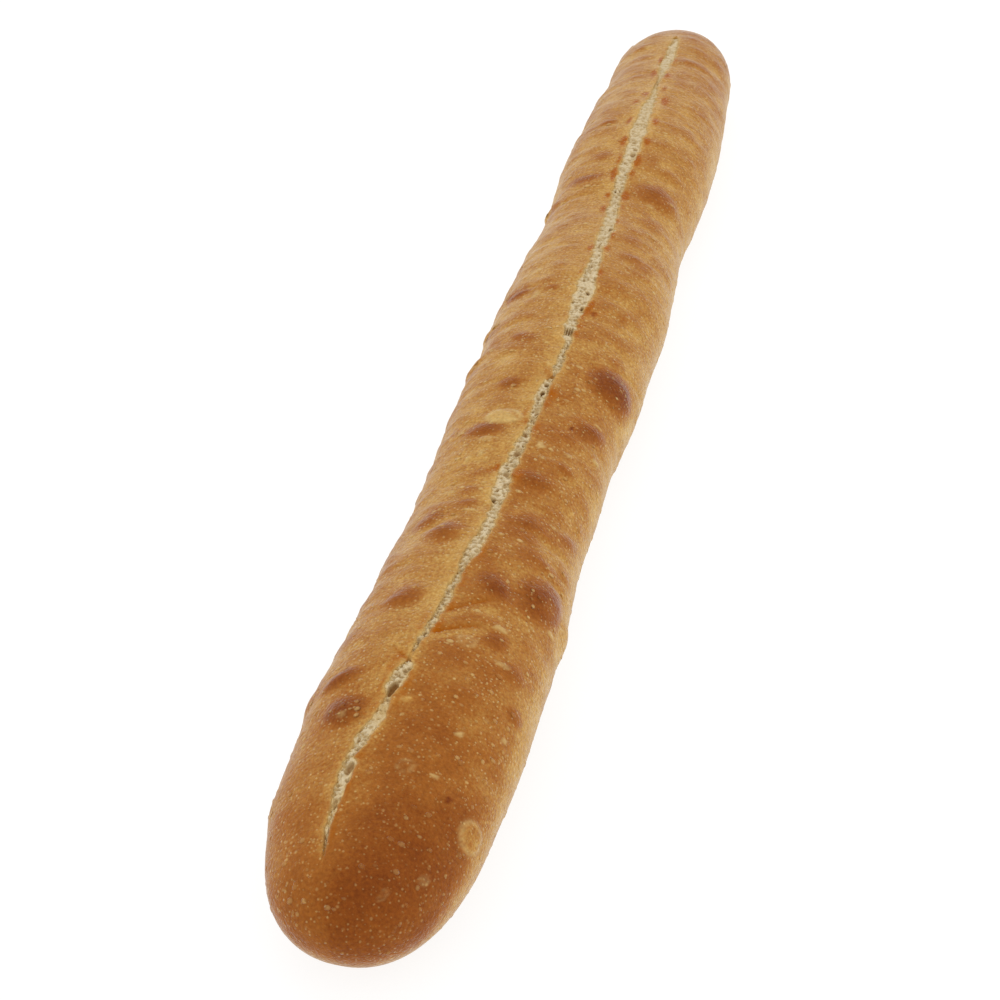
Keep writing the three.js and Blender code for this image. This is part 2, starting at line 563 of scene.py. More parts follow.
# along Y, degrees round the loaf, half size across and along, rise, browning and slant
SWELLINGS = tuple(
    Swelling(*row)
    for row in (
        # right of the score, from the near end to the far end
        (-288, 20, 26, 14, 0.0, 0.16), (-270, 35, 6, 6, 0.2, 0.06), (-250, 40, 1.3, 1.2, 0.3, 2.2),
        (-229, 10, 5, 5, 0.4, 0.16), (-209, 61, 6, 4, 0.6, 0.42), (-196, 50, 7, 5.5, 0.5, 0.30),
        (-187, 33, 5.5, 4.5, 0.6, 0.38), (-163, 20, 7, 6.5, 1.0, 0.40, -0.2),
        (-158, 55, 13, 12, 2.2, 0.70, 0.15), (-157, 92, 11, 11, 1.2, 0.0), (-165, 28, 7, 5, 0.2, 0.22),
        (-142, 47, 9, 3.5, 0.5, 0.22), (-138, 66, 6, 3.5, 0.5, 0.20), (-125, 29, 8, 5, 0.6, 0.28, 0.2),
        (-121, 60, 10, 4, 0.6, 0.26, 0.35), (-110, 67, 5, 4, 0.5, 0.22), (-104, 18, 9, 5, 0.9, 0.28),
        (-92, 38, 4, 3, 0.3, 0.20), (-69, 32, 0.6, 0.7, -0.2, 1.6),
        (-66, 47, 10.5, 6.5, 1.2, 0.54, 0.35), (-50, 27, 5, 3, 0.3, 0.20),
        (-37, 52, 16, 10.5, 2.2, 0.90), (-23, 41, 3.5, 3, 0.3, 0.22), (-1, 17, 1.3, 1.2, -0.2, 2.6),
        (3, 38, 4, 3.2, 0.4, 0.30), (22, 20, 11, 8, 0.4, 0.08), (46, 28, 6.5, 4, 0.5, 0.26, 0.2),
        (46, 46, 5, 3, 0.3, 0.14), (60, 25, 5, 5, 0.4, 0.22), (53, 67, 7, 4, 0.6, 0.22),
        (102, 34, 15, 9, 1.7, 0.50), (127, 30, 14, 12, 0.5, 0.16), (140, 19, 6, 3, 0.4, 0.20),
        (140, 50, 5, 3, 0.4, 0.22), (158, 30, 13, 4, 0.4, 0.16), (180, 58, 6, 3.5, 0.4, 0.18),
        (202, 15, 4, 3.5, 0.3, 0.22), (215, 16, 5, 5, 0.4, 0.18), (218, 46, 4, 4, 0.3, 0.16),
        (233, 20, 11, 4.5, 0.6, 0.24), (249, 20, 8, 4, 0.5, 0.20), (262, 16, 5, 3.5, 0.3, 0.14),
        # left of the score, from the near end to the far end
        (-215, -76, 8, 7, 0.6, 0.0), (-174, -74, 17, 36, -1.15, 0.0), (-16, -74, 14, 13, -0.9, 0.0),
        (38, -74, 14, 22, -0.5, 0.0), (107, -74, 13, 10, -0.8, 0.0), (-227, -30, 9, 7.5, 1.4, 0.38),
        (-213, -40, 10, 5.0, 1.3, 0.34, 0.2), (-212, -70, 9, 6, 0.6, 0.1), (-255, -80, 9, 8, 0.5, 0.0),
        (-175, -23, 8, 7, 1.3, 0.32, 0.2), (-140, -18, 9, 7.5, 1.5, 0.28),
        (-130, -36, 7, 5, 1.0, 0.30, 0.2), (-122, -12, 4, 3.5, 0.4, 0.24),
        (-114, -15, 5, 3.5, 0.3, 0.16), (-104, -11, 4.5, 3, 0.3, 0.22), (-79, -23, 9, 5, 1.0, 0.36),
        (-75, -49, 3.5, 3, 0.3, 0.20), (-51, -17, 5, 4.5, 0.6, 0.30), (-33, -64, 7, 2.0, 0.0, 0.25),
        (-21, -21, 8, 3.5, 0.7, 0.28, -0.3), (-6, -62, 7, 2.0, 0.0, 0.25), (94, -66, 6, 2.0, 0.0, 0.25),
        (16, -44, 9, 4.4, 0.6, 0.52), (14, -16, 3.5, 2.5, 0.3, 0.22), (22, -38, 4, 2.5, 0.2, 0.08),
        (98, -56, 6, 3.5, 0.5, 0.20, 0.3), (109, -29, 12, 3.8, 0.5, 0.34), (127, -20, 6, 5, 0.4, 0.20),
        (158, -28, 6, 3.2, 0.5, 0.26), (173, -38, 4, 3, 0.3, 0.14), (210, -22, 6, 3.5, 0.4, 0.18),
        (235, -26, 8, 5, 0.5, 0.14),
    )
)

CREASES = (
    # broad golden folds, and the thin dark lines that run in them
    Crease((-194, 0), (-185, 28), -0.3, 1.9, 0.8, gold=0.5),
    Crease((-192, 0), (-183, 22), -0.8, 0.6, 0.8, caramel=0.9),
    Crease((-183, 2), (-173, 30), -0.25, 2.0, 0.8, gold=0.5),
    Crease((-181, 2), (-170, 22), -0.7, 0.6, 0.8, caramel=0.75),
    Crease((-206, -4), (-200, -16), -0.3, 1.3, 0.0, gold=0.5),
    Crease((-206, -4), (-200.5, -15), -0.4, 0.55, 0.0, caramel=0.8),
    Crease((-226, -13), (-220, 4), 0.2, 1.1, 0.0, caramel=0.2, gold=0.95),
    Crease((143, 6), (206, 5), 0.0, 3.2, 0.0, gold=0.6),
    Crease((-49, 8), (-38, -2), -0.4, 0.45, 0.0, caramel=0.35),
    Crease((-46.5, 8), (-40, 1), 0.2, 1.1, 0.0, caramel=0.5, gold=0.9),
    Crease((-137, -38), (-127, -12), -0.4, 1.2, -1.2, gold=0.5),
    Crease((-104, -9), (-99, -3), -0.3, 0.7, 0.0, caramel=0.8),
    # painted shadow: an orange groove along the edge of the popped flap near -70, laid with the caramel
    # mark
    Crease((-67.5, -14), (-73.5, -1), -0.35, 0.6, 0.8, caramel=0.6),
    Crease((-157, -52), (-156, -30), -0.3, 1.4, 0.0, gold=0.2),
    Crease((-110, -45), (-109, -22), -0.3, 1.3, 0.0, gold=0.2),
    Crease((-10, -50), (-8, -20), -0.3, 1.2, 1.0, gold=0.15),
    Crease((17, -52), (17, -28), -0.5, 1.4, 0.0, gold=0.5),
    Crease((95, -46), (96, -20), -0.5, 1.3, 0.0, gold=0.3),
    Crease((49, -28), (48, -8), -0.4, 1.3, 0.0, gold=0.4),
    Crease((-148, 38), (-146, 70), -0.4, 1.6, 0.0, gold=0.3),
    Crease((-132, 36), (-130, 66), -0.4, 1.5, 0.0, gold=0.3),
    Crease((-26, 50), (-23, 84), -0.4, 1.6, 0.0, gold=0.4),
    # short folds that stand out on the left side
    Crease((-29, -80), (-26, -56), 0.8, 1.5),
    Crease((-3, -80), (-0.5, -54), 0.7, 1.4),
    Crease((98, -80), (100, -56), 0.7, 1.3),
)

# along Y, degrees round the loaf, half size across and along, rise, paleness, rim and gold
BLISTERS = tuple(
    Blister(*row)
    for row in (
        (-254.5, 66, 6.2, 4.6, 0.7, 0.0, 0.5, 0.44), (-245, 12, 2.4, 2.2, 0.18, 0.02, 0.3),
        (-229.5, -28, 1.3, 1.2, 0.25, 0.3, 0.4), (-192, 18, 3.2, 2.4, 0.25, 0.15, 0.4),
        (-284, 33, 1.9, 1.6, 0.25, 0.05, 0.2), (-275, 52, 2.0, 1.6, 0.25, 0.15, 0.3),
        (-181, 33, 2.4, 1.3, 0.4, 0.8, 0.0), (-195, 41, 2.6, 1.1, 0.3, 0.45, 0.2),
        (-76, 60, 2.4, 1.3, 0.4, 0.7, 0.1), (-59.5, 51, 2.2, 1.0, 0.3, 0.6, 0.1),
        (-85, 16, 1.3, 2.0, 0.3, 0.75, 0.0), (-71.5, -12, 6.4, 4.0, 0.8, 0.3, 0.6, 0.95),
        (-93, -18, 1.5, 1.8, 0.3, 0.3, 0.4), (-85, -19, 2.2, 1.6, 0.3, 0.3, 0.4),
        (-95.5, -26, 1.2, 1.5, 0.3, 0.55, 0.1), (-114, -29, 2.2, 1.0, 0.3, 0.5, 0.2),
        (-84, 36, 1.4, 0.9, 0.3, 0.6, 0.0), (-245, 28, 1.0, 0.9, 0.3, 0.7, 0.0),
        (-227.5, 32, 1.1, 0.9, 0.35, 0.8, 0.0), (-219.5, 60, 1.5, 1.0, 0.3, 0.6, 0.0),
        (-167, 68, 2.4, 1.2, 0.35, 0.6, 0.1), (10, -26, 1.6, 2.6, 0.3, 0.5, 0.0),
        (29, -34, 2.2, 1.8, 0.3, 0.4, 0.0), (94, 29, 2.2, 1.0, 0.3, 0.4, 0.0),
        (248, -24, 2.2, 0.9, 0.3, 0.45, 0.0),
    )
)

# along Y, over the skin from the cut's middle, half size along and across, and strength
LIP_SPOTS = tuple(
    LipSpot(*row)
    for row in (
        (-266, 1.9, 6.0, 0.8, 0.8), (-254, 3.0, 6.0, 0.8, 0.75), (-244.5, 2.6, 1.6, 1.8, 1.0),
        (-216, 3.6, 6.5, 1.0, 0.6), (-211, 2.8, 1.6, 0.6, 0.7), (-226, -2.2, 4.0, 1.0, 0.55),
        (-218, -3.4, 5.0, 0.8, 0.75), (-210, -4.2, 5.0, 1.1, 0.4), (-198, -2.6, 3.0, 1.2, 0.5),
        (-186, -2.6, 4.0, 1.2, 0.4), (-204.5, -3.0, 2.2, 1.2, 0.8), (-191.5, -2.0, 1.2, 0.8, 0.5),
        (-189, 2.6, 3.6, 1.0, 0.75), (-176, 3.0, 4.0, 1.0, 0.7), (-166, 2.8, 3.0, 0.8, 0.7),
        (-160, 1.9, 2.6, 0.7, 0.6), (-149, 3.6, 6.0, 0.8, 0.35), (-100.5, -4.2, 2.2, 0.9, 1.0),
        (-104.5, 3.2, 3.2, 1.3, 0.7), (-91, -3.2, 4.0, 0.8, 0.35), (-73.5, -1.8, 2.0, 0.8, 0.8),
        (-69.5, -3.2, 3.0, 0.8, 0.9), (-74, 2.5, 3.2, 0.9, 0.7), (-61.5, 2.6, 2.0, 1.0, 0.6),
        (-55.5, 2.4, 4.0, 1.6, 0.75), (-17.5, 2.2, 3.6, 0.8, 0.7), (-11.5, 2.3, 2.0, 1.4, 1.0),
        (-5, 2.5, 2.6, 0.7, 0.6), (-0.5, 3.6, 2.6, 1.2, 1.0), (-1, 6.6, 1.2, 1.1, 1.2),
        (4.5, 4.4, 2.6, 0.8, 0.8), (6, -4.2, 3.0, 0.8, 0.45), (26.5, 3.4, 2.2, 0.8, 0.7),
        (25, -3.6, 4.0, 0.8, 0.5), (45, -3.1, 2.2, 0.9, 0.95), (46.5, 2.9, 2.4, 1.4, 1.0),
        (57.5, 3.4, 2.8, 0.8, 0.6), (71, 3.4, 2.4, 0.8, 0.5), (83, -3.2, 2.6, 0.9, 0.4),
        (86, 3.6, 2.4, 0.8, 0.4), (95, -3.3, 2.5, 1.1, 0.95), (96, 3.7, 2.6, 1.4, 1.0),
        (108, -3.3, 3.0, 0.8, 0.5), (114, -3.6, 3.4, 1.1, 0.75), (113.5, 3.4, 3.6, 1.1, 0.95),
        (122, -3.4, 3.4, 0.9, 0.55), (122, 3.7, 4.6, 1.2, 1.0), (137.5, -4.4, 2.4, 1.0, 0.7),
        (139, 5.0, 2.4, 1.2, 0.7), (141, -4.6, 2.4, 1.2, 0.7), (156, -5.4, 2.6, 1.2, 0.9),
        (160, -5.0, 2.0, 1.0, 0.8), (159, 5.5, 3.0, 1.3, 0.95), (177, -5.6, 2.6, 1.2, 0.7),
        (180.5, 6.2, 3.0, 1.4, 0.95), (186.5, -2.7, 2.4, 1.4, 1.0), (194, 3.9, 2.6, 0.9, 0.5),
        (213, -3.2, 4.6, 1.1, 0.85), (212, 2.9, 3.8, 1.0, 0.65), (231, -2.7, 2.4, 1.0, 0.8),
        (230, 3.7, 3.0, 1.0, 0.5),
    )
)

# the same for the larger pores of the crumb, with their depth last
PORES = tuple(
    Pore(*row)
    for row in (
        (-272.0, -0.8, 0.8, 0.4, 0.8), (-267.5, -0.2, 0.9, 0.35, 1.2), (-261.5, 0.4, 2.0, 0.9, 1.6),
        (-249.0, 1.2, 2.5, 1.4, 1.5), (-238.5, -0.6, 0.9, 0.5, 1.1), (-227.0, 1.4, 1.4, 1.0, 1.1),
        (-218.0, 0.3, 3.2, 1.8, 2.2), (-212.5, -0.2, 0.8, 0.6, 1.1), (-209.0, -0.7, 0.7, 0.4, 1.1),
        (-198.0, 0.2, 1.0, 0.4, 1.2), (-193.0, 0.3, 1.3, 0.5, 1.2), (-177.0, 0.3, 0.9, 0.35, 1.1),
        (-170.5, 0.5, 0.9, 0.5, 1.0), (-158.0, -0.3, 0.6, 0.4, 1.1), (-153.0, 1.1, 1.0, 0.5, 0.9),
        (-151.0, -1.1, 0.7, 0.5, 1.2), (-147.0, 0.2, 0.8, 0.5, 0.8), (-141.5, 1.2, 1.5, 0.5, 0.8),
        (-119.0, -1.0, 1.1, 0.9, 2.6), (-113.0, -1.0, 0.8, 0.6, 1.1), (-109.5, 0.4, 0.8, 0.6, 1.1),
        (-104.0, -0.6, 1.4, 1.1, 1.3), (-102.0, -0.3, 0.5, 0.5, 2.2), (-99.2, -1.6, 0.8, 0.35, 1.4),
        (-96.5, -0.8, 0.7, 0.4, 1.1), (-92.0, 0.0, 1.9, 1.2, 1.5), (-87.5, 0.8, 0.7, 0.5, 1.0),
        (-85.5, -0.8, 0.8, 0.5, 1.3), (-81.0, -0.4, 1.3, 0.9, 1.6), (-71.5, -0.3, 0.8, 0.5, 1.2),
        (-68.5, 0.2, 0.7, 0.4, 1.2), (-67.0, -1.0, 0.9, 0.5, 1.2), (-65.0, -0.3, 0.5, 0.4, 1.1),
        (-61.8, -0.8, 0.6, 0.4, 1.0), (-59.0, -1.3, 0.8, 0.7, 1.6), (-55.0, -1.0, 1.5, 0.8, 2.2),
        (-50.3, -0.8, 1.2, 0.8, 2.0), (-38.0, 0.2, 0.8, 0.6, 0.9), (-31.0, 0.0, 0.6, 0.4, 1.0),
        (-24.3, 0.4, 0.7, 0.4, 1.0), (-16.2, -2.4, 2.6, 0.4, 1.3), (-16.0, -1.5, 2.8, 0.45, 1.5),
        (-15.8, -0.6, 2.8, 0.45, 1.5), (-15.4, 0.3, 2.6, 0.45, 1.5), (-7.8, 0.1, 1.1, 0.7, 1.3),
        (0.8, 1.2, 1.2, 0.7, 1.7), (1.8, -1.0, 0.8, 0.6, 1.1), (4.2, -2.8, 0.9, 0.5, 1.2),
        (8.5, -1.0, 0.8, 0.4, 1.1), (11.8, 1.3, 0.9, 0.7, 1.9), (13.5, -0.2, 0.6, 0.4, 1.1),
        (20.0, -1.6, 1.2, 0.4, 1.2), (21.0, -0.1, 0.7, 0.4, 1.1), (26.0, -2.0, 1.0, 0.35, 1.1),
        (30.2, -0.5, 1.1, 0.5, 2.0), (40.5, 0.7, 0.8, 0.6, 1.0), (48.5, -0.4, 2.2, 0.4, 0.9),
        (59.0, 0.3, 0.7, 0.4, 0.9), (64.5, 1.9, 1.3, 0.8, 2.8), (68.0, 1.6, 0.7, 0.5, 1.1),
        (80.5, 1.2, 0.8, 0.7, 1.0), (89.5, 1.4, 0.9, 0.5, 1.0), (94.8, 0.0, 0.8, 0.5, 1.3),
        (99.0, -0.9, 0.9, 0.35, 1.6), (99.8, 0.5, 0.7, 0.4, 1.2), (105.3, 0.9, 0.9, 0.6, 1.1),
        (121.0, -0.5, 0.9, 0.7, 1.2), (128.0, 1.2, 1.9, 1.1, 1.7), (132.3, 1.4, 1.0, 0.9, 1.4),
        (138.0, 0.1, 1.1, 1.0, 1.3), (154.5, 0.3, 0.9, 0.4, 0.8),
    )
)


@dataclass
class Draft:
    """The crust while it is worked out, one value of each kind for each place.

    Attributes:
        along: places along the loaf.
        turn: angles round it.
        wrinkles: unevenness of the size of the wrinkles.
        blotches: unevenness of the size of the blotches.
        rise: heights above the bare form.
        bake: how far it has browned.
        pale: how thin and light it is.
        caramel: how orange it is, with caramel and with a painted shadow along one popped flap's edge.
    """

    along: Array
    turn: Array
    wrinkles: Array
    blotches: Array
    rise: Array
    bake: Array
    pale: Array
    caramel: Array

    def gild(self, golden: float, share: Array, near: Array | slice = slice(None)) -> None:
        """Bring the browning towards golden by a share, at all places or at those near."""
        self.bake[near] += (golden - self.bake[near]) * share


@dataclass(frozen=True)
class LipLook:
    """How the crust looks beside the score.

    Attributes:
        bead: height of the raised edge, by the distance past the lip.
        margins: width of the golden stretched skin, right and left of the score.
        margin_ragged: how that width varies.
        margin_least: width that it keeps everywhere.
        stretched: how golden it is, with the wrinkles.
        pale: how light the very edge of the crust is.
        pale_width: how wide that edge is.
        spot_strength: how orange the caramel spots are, by the place along the loaf.
        spot_mottle: how uneven their colour is.
        spot_size: size of each spot's core, over its own.
        tint: how orange the lip is between the spots, by the distance past it.
        tint_patches: which of the blotches have that tint.
    """

    bead: Band = Band(0.9, 0.8, 0.2)
    margins: tuple[float, float] = (1.6, 4.4)
    margin_ragged: Mix = Mix(1.0, 0.8)
    margin_least: float = 0.8
    stretched: Mix = Mix(0.92, 0.7)
    pale: float = 0.5
    pale_width: Mix = Mix(0.5, 0.25)
    spot_strength: Slope = Slope(-20, 60, 1.1, 2.0)
    spot_mottle: Mix = Mix(1.0, 0.6)
    spot_size: Mix = Mix(0.95, 0.5)
    tint: Band = Band(0.5, 0.8, 0.25)
    tint_patches: Slope = Slope(-0.1, 0.3)


@dataclass(frozen=True)
class Baking:
    """The broad browning of the loaf, from 0 for dough to 1 for the darkest crust.

    Attributes:
        rows: along Y, and the browning far left, left, right and far right of the crown.
        crown: turns over which it goes from left to right.
        left: turns over which it goes to far left, counted towards the left.
        right: turns over which it goes to far right.
        flanks: how far it goes pale low on the flanks, by the turn.
        right_sooner: by how many degrees the right flank does so sooner.
        belt: how much higher the pale foot of the loaf reaches at its near end.
        foot: heights between which the foot goes pale.
        foot_belt: how much of the belt the lower of these heights takes.
        foot_pale: how far it goes pale there.
        flank: browning of the pale flanks, by the place along the loaf.
        base: browning of the underside.
        base_edge: how the underside ends above the floor.
    """

    rows: Rows = (
        (-295, 0.56, 0.68, 0.76, 0.72), (-270, 0.50, 0.62, 0.78, 0.76), (-235, 0.43, 0.51, 0.65, 0.55),
        (-200, 0.44, 0.42, 0.58, 0.45), (-150, 0.42, 0.40, 0.55, 0.42), (-100, 0.37, 0.40, 0.53, 0.42),
        (-50, 0.36, 0.40, 0.48, 0.40), (0, 0.38, 0.40, 0.44, 0.36), (50, 0.37, 0.38, 0.43, 0.33),
        (100, 0.36, 0.36, 0.42, 0.32), (150, 0.34, 0.34, 0.37, 0.36), (200, 0.34, 0.35, 0.40, 0.38),
        (250, 0.34, 0.36, 0.43, 0.40), (295, 0.36, 0.39, 0.43, 0.40),
    )
    crown: Slope = Slope(-8, 10)
    left: Slope = Slope(18, 60)
    right: Slope = Slope(24, 60)
    flanks: Slope = Slope(60, 92, 0.0, 0.85)
    right_sooner: float = 3.0
    belt: Slope = Slope(-291, -262, 7.0, 0.0)
    foot: tuple[float, float] = (7.0, 15.0)
    foot_belt: float = 0.4
    foot_pale: float = 0.8
    flank: Slope = Slope(-288, -215, 0.23, 0.16)
    base: float = 0.44
    base_edge: Slope = Slope(0.3, 2.0, 1.0, 0.0)

    def at(self, along: Array, degrees: Array, height: Array) -> Array:
        """Give the browning at each place.

        Args:
            along: places along the loaf.
            degrees: turns of the places, below 0 left of the crown.
            height: heights above the floor.

        Returns:
            The browning at each place.
        """
        far_left, left, right, far_right = (read_rows(self.rows, column, along) for column in (1, 2, 3, 4))
        broad = left + (right - left) * self.crown.at(degrees)
        broad += (far_left - left) * self.left.at(-degrees)
        broad += (far_right - right) * self.right.at(degrees)
        belt = self.belt.at(along)
        lower, upper = self.foot
        foot = self.foot_pale * (1 - ease(lower + self.foot_belt * belt, upper + belt, height))
        low = np.maximum(self.flanks.at(np.abs(degrees) + self.right_sooner * (degrees > 0)), foot)
        flank = self.flank.at(along)
        return broad + (flank - broad) * low + (self.base - flank) * self.base_edge.at(height)


@dataclass(frozen=True)
class Skin:
    """The finished surface of the loaf: the bare form with all that the oven did to it.

    Attributes:
        form: the loaf's bare form.
        score: the cut along its crown.
        baking: its broad browning.
        lips: how the crust looks beside the score.
        stretch: along Y, and how golden the stretched skin is left and right of the score.
        golden: browning of stretched skin.
        bake_limits: least and most browning.
        lumps: the broad unevenness.
        lump_rise: its height.
        lump_brown: how much browner its tops are.
        wrinkles: the uneven skin between the lumps.
        wrinkle_rise: its height.
        pleats: the fine folds that run round the loaf.
        pleat_rise: their height.
        fold_brown: how much browner the tops of wrinkles and pleats are.
        blotches: the uneven browning.
        blotch_brown: how strong it is.
        blotch_growth: how it grows from the near end on.
        near_smooth: how wrinkled the skin is, by the place along the loaf.
        crown_smooth: the same by the turn, to both sides.
        right_smooth: the same on the right flank.
        base_smooth: the same under the loaf.
        tip_smooth: the same by the distance from the tips.
        patch_end: squared distance at which nothing of a swelling is left.
        patch_edge: squared distance at which its browning starts.
        patch_power: how soon it browns from there.
        patch_ragged: how uneven its edge is.
        patch_brown: share of its browning that it has left and right of the crown.
    """

    form: LoafForm
    score: Score
    baking: Baking = Baking()
    lips: LipLook = LipLook()
    stretch: Rows = (
        (-284, 0.0, 0.0), (-276, 0.35, 0.0), (-245, 0.4, 0.1), (-235, 0.55, 0.5), (-222, 0.55, 0.2),
        (-204, 0.85, 0.7), (-190, 0.85, 0.3), (-160, 0.9, 0.2), (-140, 0.9, 0.4), (-120, 0.8, 0.5),
        (-100, 0.8, 0.3), (-60, 0.85, 0.2), (-45, 0.8, 0.7), (-30, 0.85, 0.6), (-10, 0.8, 0.4),
        (20, 0.7, 0.4), (60, 0.5, 0.45), (130, 0.65, 0.4), (145, 0.95, 0.8), (203, 0.95, 0.9),
        (213, 0.5, 0.4), (230, 0.6, 0.5), (258, 0.4, 0.4), (268, 0.0, 0.0),
    )
    golden: float = 0.18
    bake_limits: tuple[float, float] = (0.02, 0.98)
    lumps: Rumple = Rumple(34.0, 26.0, 5.3)
    lump_rise: float = 0.7
    lump_brown: float = 0.03
    wrinkles: Rumple = Rumple(7.5, 15.0, 17.9, 3)
    wrinkle_rise: float = 0.6
    pleats: Rumple = Rumple(3.6, 13.0, 41.2)
    pleat_rise: float = 0.15
    fold_brown: float = 0.24
    blotches: Rumple = Rumple(9.0, 9.0, 77.7, 3)
    blotch_brown: float = 0.10
    blotch_growth: Slope = Slope(-285, -235, 0.5)
    near_smooth: Slope = Slope(-245, -165, 0.25)
    crown_smooth: Slope = Slope(8, 35, 0.55)
    right_smooth: Slope = Slope(40, 80, 1.0, 0.4)
    base_smooth: Slope = Slope(120, 165, 1.0, 0.0)
    tip_smooth: Slope = Slope(0, 25)
    patch_end: float = 2.2
    patch_edge: float = 1.12
    patch_power: float = 1.15
    patch_ragged: float = 0.4
    patch_brown: tuple[float, float] = (1.0, 0.54)

    def over(self, along: Array, turn: Array) -> Array:
        """Give the distance over the skin from the score's middle, below 0 on its left."""
        return self.form.half_width(along) * (turn - self.score.middle(self.form, along))

    def past_lip(self, along: Array, turn: Array) -> tuple[Array, Array]:
        """Give how far each place lies outside the nearer lip of the score.

        Args:
            along: places along the loaf.
            turn: angles round it.

        Returns:
            The distance past the lip, below 0 in the cut, and whether it is the right lip.
        """
        over = self.over(along, turn)
        right = over > 0
        lip = np.where(right, self.score.lip(along, Side.RIGHT), self.score.lip(along, Side.LEFT))
        return np.abs(over) - lip, right

    def wrinkling(self, along: Array, turn: Array) -> Array:
        """Give how wrinkled each place is: smooth at the near end and under the loaf.

        Args:
            along: places along the loaf.
            turn: angles round it.

        Returns:
            The share of the wrinkles' height at each place.
        """
        degrees = np.degrees(turn)
        round_it = self.crown_smooth.at(np.abs(degrees)) * self.right_smooth.at(degrees)
        round_it *= self.base_smooth.at(np.abs(degrees))
        from_tip = self.form.length / 2 - np.abs(along)
        return self.near_smooth.at(along) * round_it * self.tip_smooth.at(from_tip)

    def relief(self, along: Array, turn: Array) -> tuple[Array, dict[Mark, Array]]:
        """Work out the height and the marks of the crust, without the groove of the score.

        Args:
            along: places along the loaf.
            turn: angles round it.

        Returns:
            The height above the bare form, and the bake, pale and caramel marks; the caramel mark also
            holds a painted shadow.
        """
        bare = self.form.skin(along, turn, np.zeros_like(along))
        lumps, wrinkles, pleats, blotches = (
            kind.at(bare) for kind in (self.lumps, self.wrinkles, self.pleats, self.blotches)
        )
        folds = (self.wrinkle_rise * wrinkles + self.pleat_rise * pleats) * self.wrinkling(along, turn)
        bake = self.baking.at(along, np.degrees(turn) * self.form.rounding(along), bare[:, 2])
        bake += self.blotch_brown * blotches * self.blotch_growth.at(along)
        bake += self.fold_brown * folds + self.lump_brown * lumps
        nothing = np.zeros_like(along)
        rise = self.lump_rise * lumps + folds
        draft = Draft(along, turn, wrinkles, blotches, rise, bake, nothing, nothing.copy())
        self._swell(draft)
        self._crease(draft)
        self._blister(draft)
        self._open_lips(draft)
        return draft.rise, {
            Mark.BAKE: np.clip(draft.bake, *self.bake_limits),
            Mark.PALE: np.clip(draft.pale, 0, 1),
            Mark.CARAMEL_AND_SHADOW: np.clip(draft.caramel, 0, 1),
        }

    def _swell(self, draft: Draft) -> None:
        """Raise and brown the swellings, whose edges follow the blotches and the wrinkles.

        Args:
            draft: the crust so far.
        """
        ragged = self.patch_ragged * (draft.blotches + draft.wrinkles)
        for swelling in SWELLINGS:
            reach = swelling.reach(self.form, draft.along, draft.turn)
            near = reach < self.patch_end
            draft.rise[near] += swelling.rise * np.maximum(0, 1 - reach[near]) ** 2
            into = np.clip(self.patch_edge - (reach + ragged)[near], 0, 1)
            brown = swelling.brown * self.patch_brown[int(swelling.turn > 0)]
            draft.bake[near] += brown * into**self.patch_power

    def _crease(self, draft: Draft) -> None:
        """Fold the skin along the creases, and tint them; one crease carries a painted shadow.

        Args:
            draft: the crust so far.
        """
        for crease in CREASES:
            nearness = crease.nearness(self.form, draft.along, draft.turn)
            draft.rise += crease.rise * nearness
            draft.caramel += crease.caramel * nearness
            draft.gild(self.golden, np.clip(crease.gold * nearness, 0, 1))

    def _blister(self, draft: Draft) -> None:
        """Raise the larger blisters, with their thin skin and their rims.

        Args:
            draft: the crust so far.
        """
        for blister in BLISTERS:
            reach = blister.reach(self.form, draft.along, draft.turn)
            near = reach < blister.end
            inside = np.clip(1 - reach[near] ** 2, 0, 1)
            rim = blister.ridge.at(reach[near])
            top = np.minimum(1, blister.steepness * inside)
            draft.rise[near] += blister.rise * (top + blister.ridge_rise * rim)
            draft.pale[near] += blister.pale * blister.thinned.at(inside) + blister.rim * rim
            draft.gild(self.golden, blister.gold * blister.gilded.at(inside), near)

    def _open_lips(self, draft: Draft) -> None:
        """Stretch the skin beside the score, and burn its lips.

        Args:
            draft: the crust so far.
        """
        look, along, blotches = self.lips, draft.along, draft.blotches
        past, right = self.past_lip(along, draft.turn)
        past = np.maximum(past, 0)
        opened = self.score.openness(along)
        draft.rise += opened * look.bead.at(past)
        margin = np.where(right, *look.margins) * look.margin_ragged.at(blotches)
        strength = np.where(right, read_rows(self.stretch, 2, along), read_rows(self.stretch, 1, along))
        strength = np.clip(strength * look.stretched.at(draft.wrinkles), 0, 1)
        draft.gild(self.golden, strength * bell(past, np.maximum(margin, look.margin_least)))
        draft.pale += look.pale * opened * bell(past, look.pale_width.at(blotches))
        over, core = self.over(along, draft.turn), look.spot_size.at(blotches)
        orange = look.spot_strength.at(along) * look.spot_mottle.at(blotches)
        for spot in LIP_SPOTS:
            away = np.hypot((along - spot.along) / spot.length, (over - spot.over) / spot.across)
            draft.caramel += spot.strength * orange * bell(away, core)
        draft.caramel += opened * look.tint.at(past) * look.tint_patches.at(blotches)


def alone() -> None:
    """Deselect everything, so that the next operator acts on its own object alone."""
    bpy.ops.object.select_all(action="DESELECT")


def as_rows(mesh: bpy.types.Mesh) -> Array:
    """Read a mesh's points.

    Args:
        mesh: the mesh.

    Returns:
        Rows of three.
    """
    flat = np.empty(len(mesh.vertices) * 3)
    mesh.vertices.foreach_get("co", flat)
    return flat.reshape(-1, 3)


def place_points(mesh: bpy.types.Mesh, points: Array) -> None:
    """Put a mesh's points at places given in millimetres."""
    mesh.vertices.foreach_set("co", (points * MM).ravel())
    mesh.update()


def write_marks(mesh: bpy.types.Mesh, marks: dict[Mark, Array]) -> None:
    """Store marks on a mesh.

    Args:
        mesh: the mesh.
        marks: one value for each of its points.
    """
    for mark, values in marks.items():
        stored = mesh.attributes.new(mark.value, "FLOAT", "POINT")
        stored.data.foreach_set("value", values.astype(np.float32))


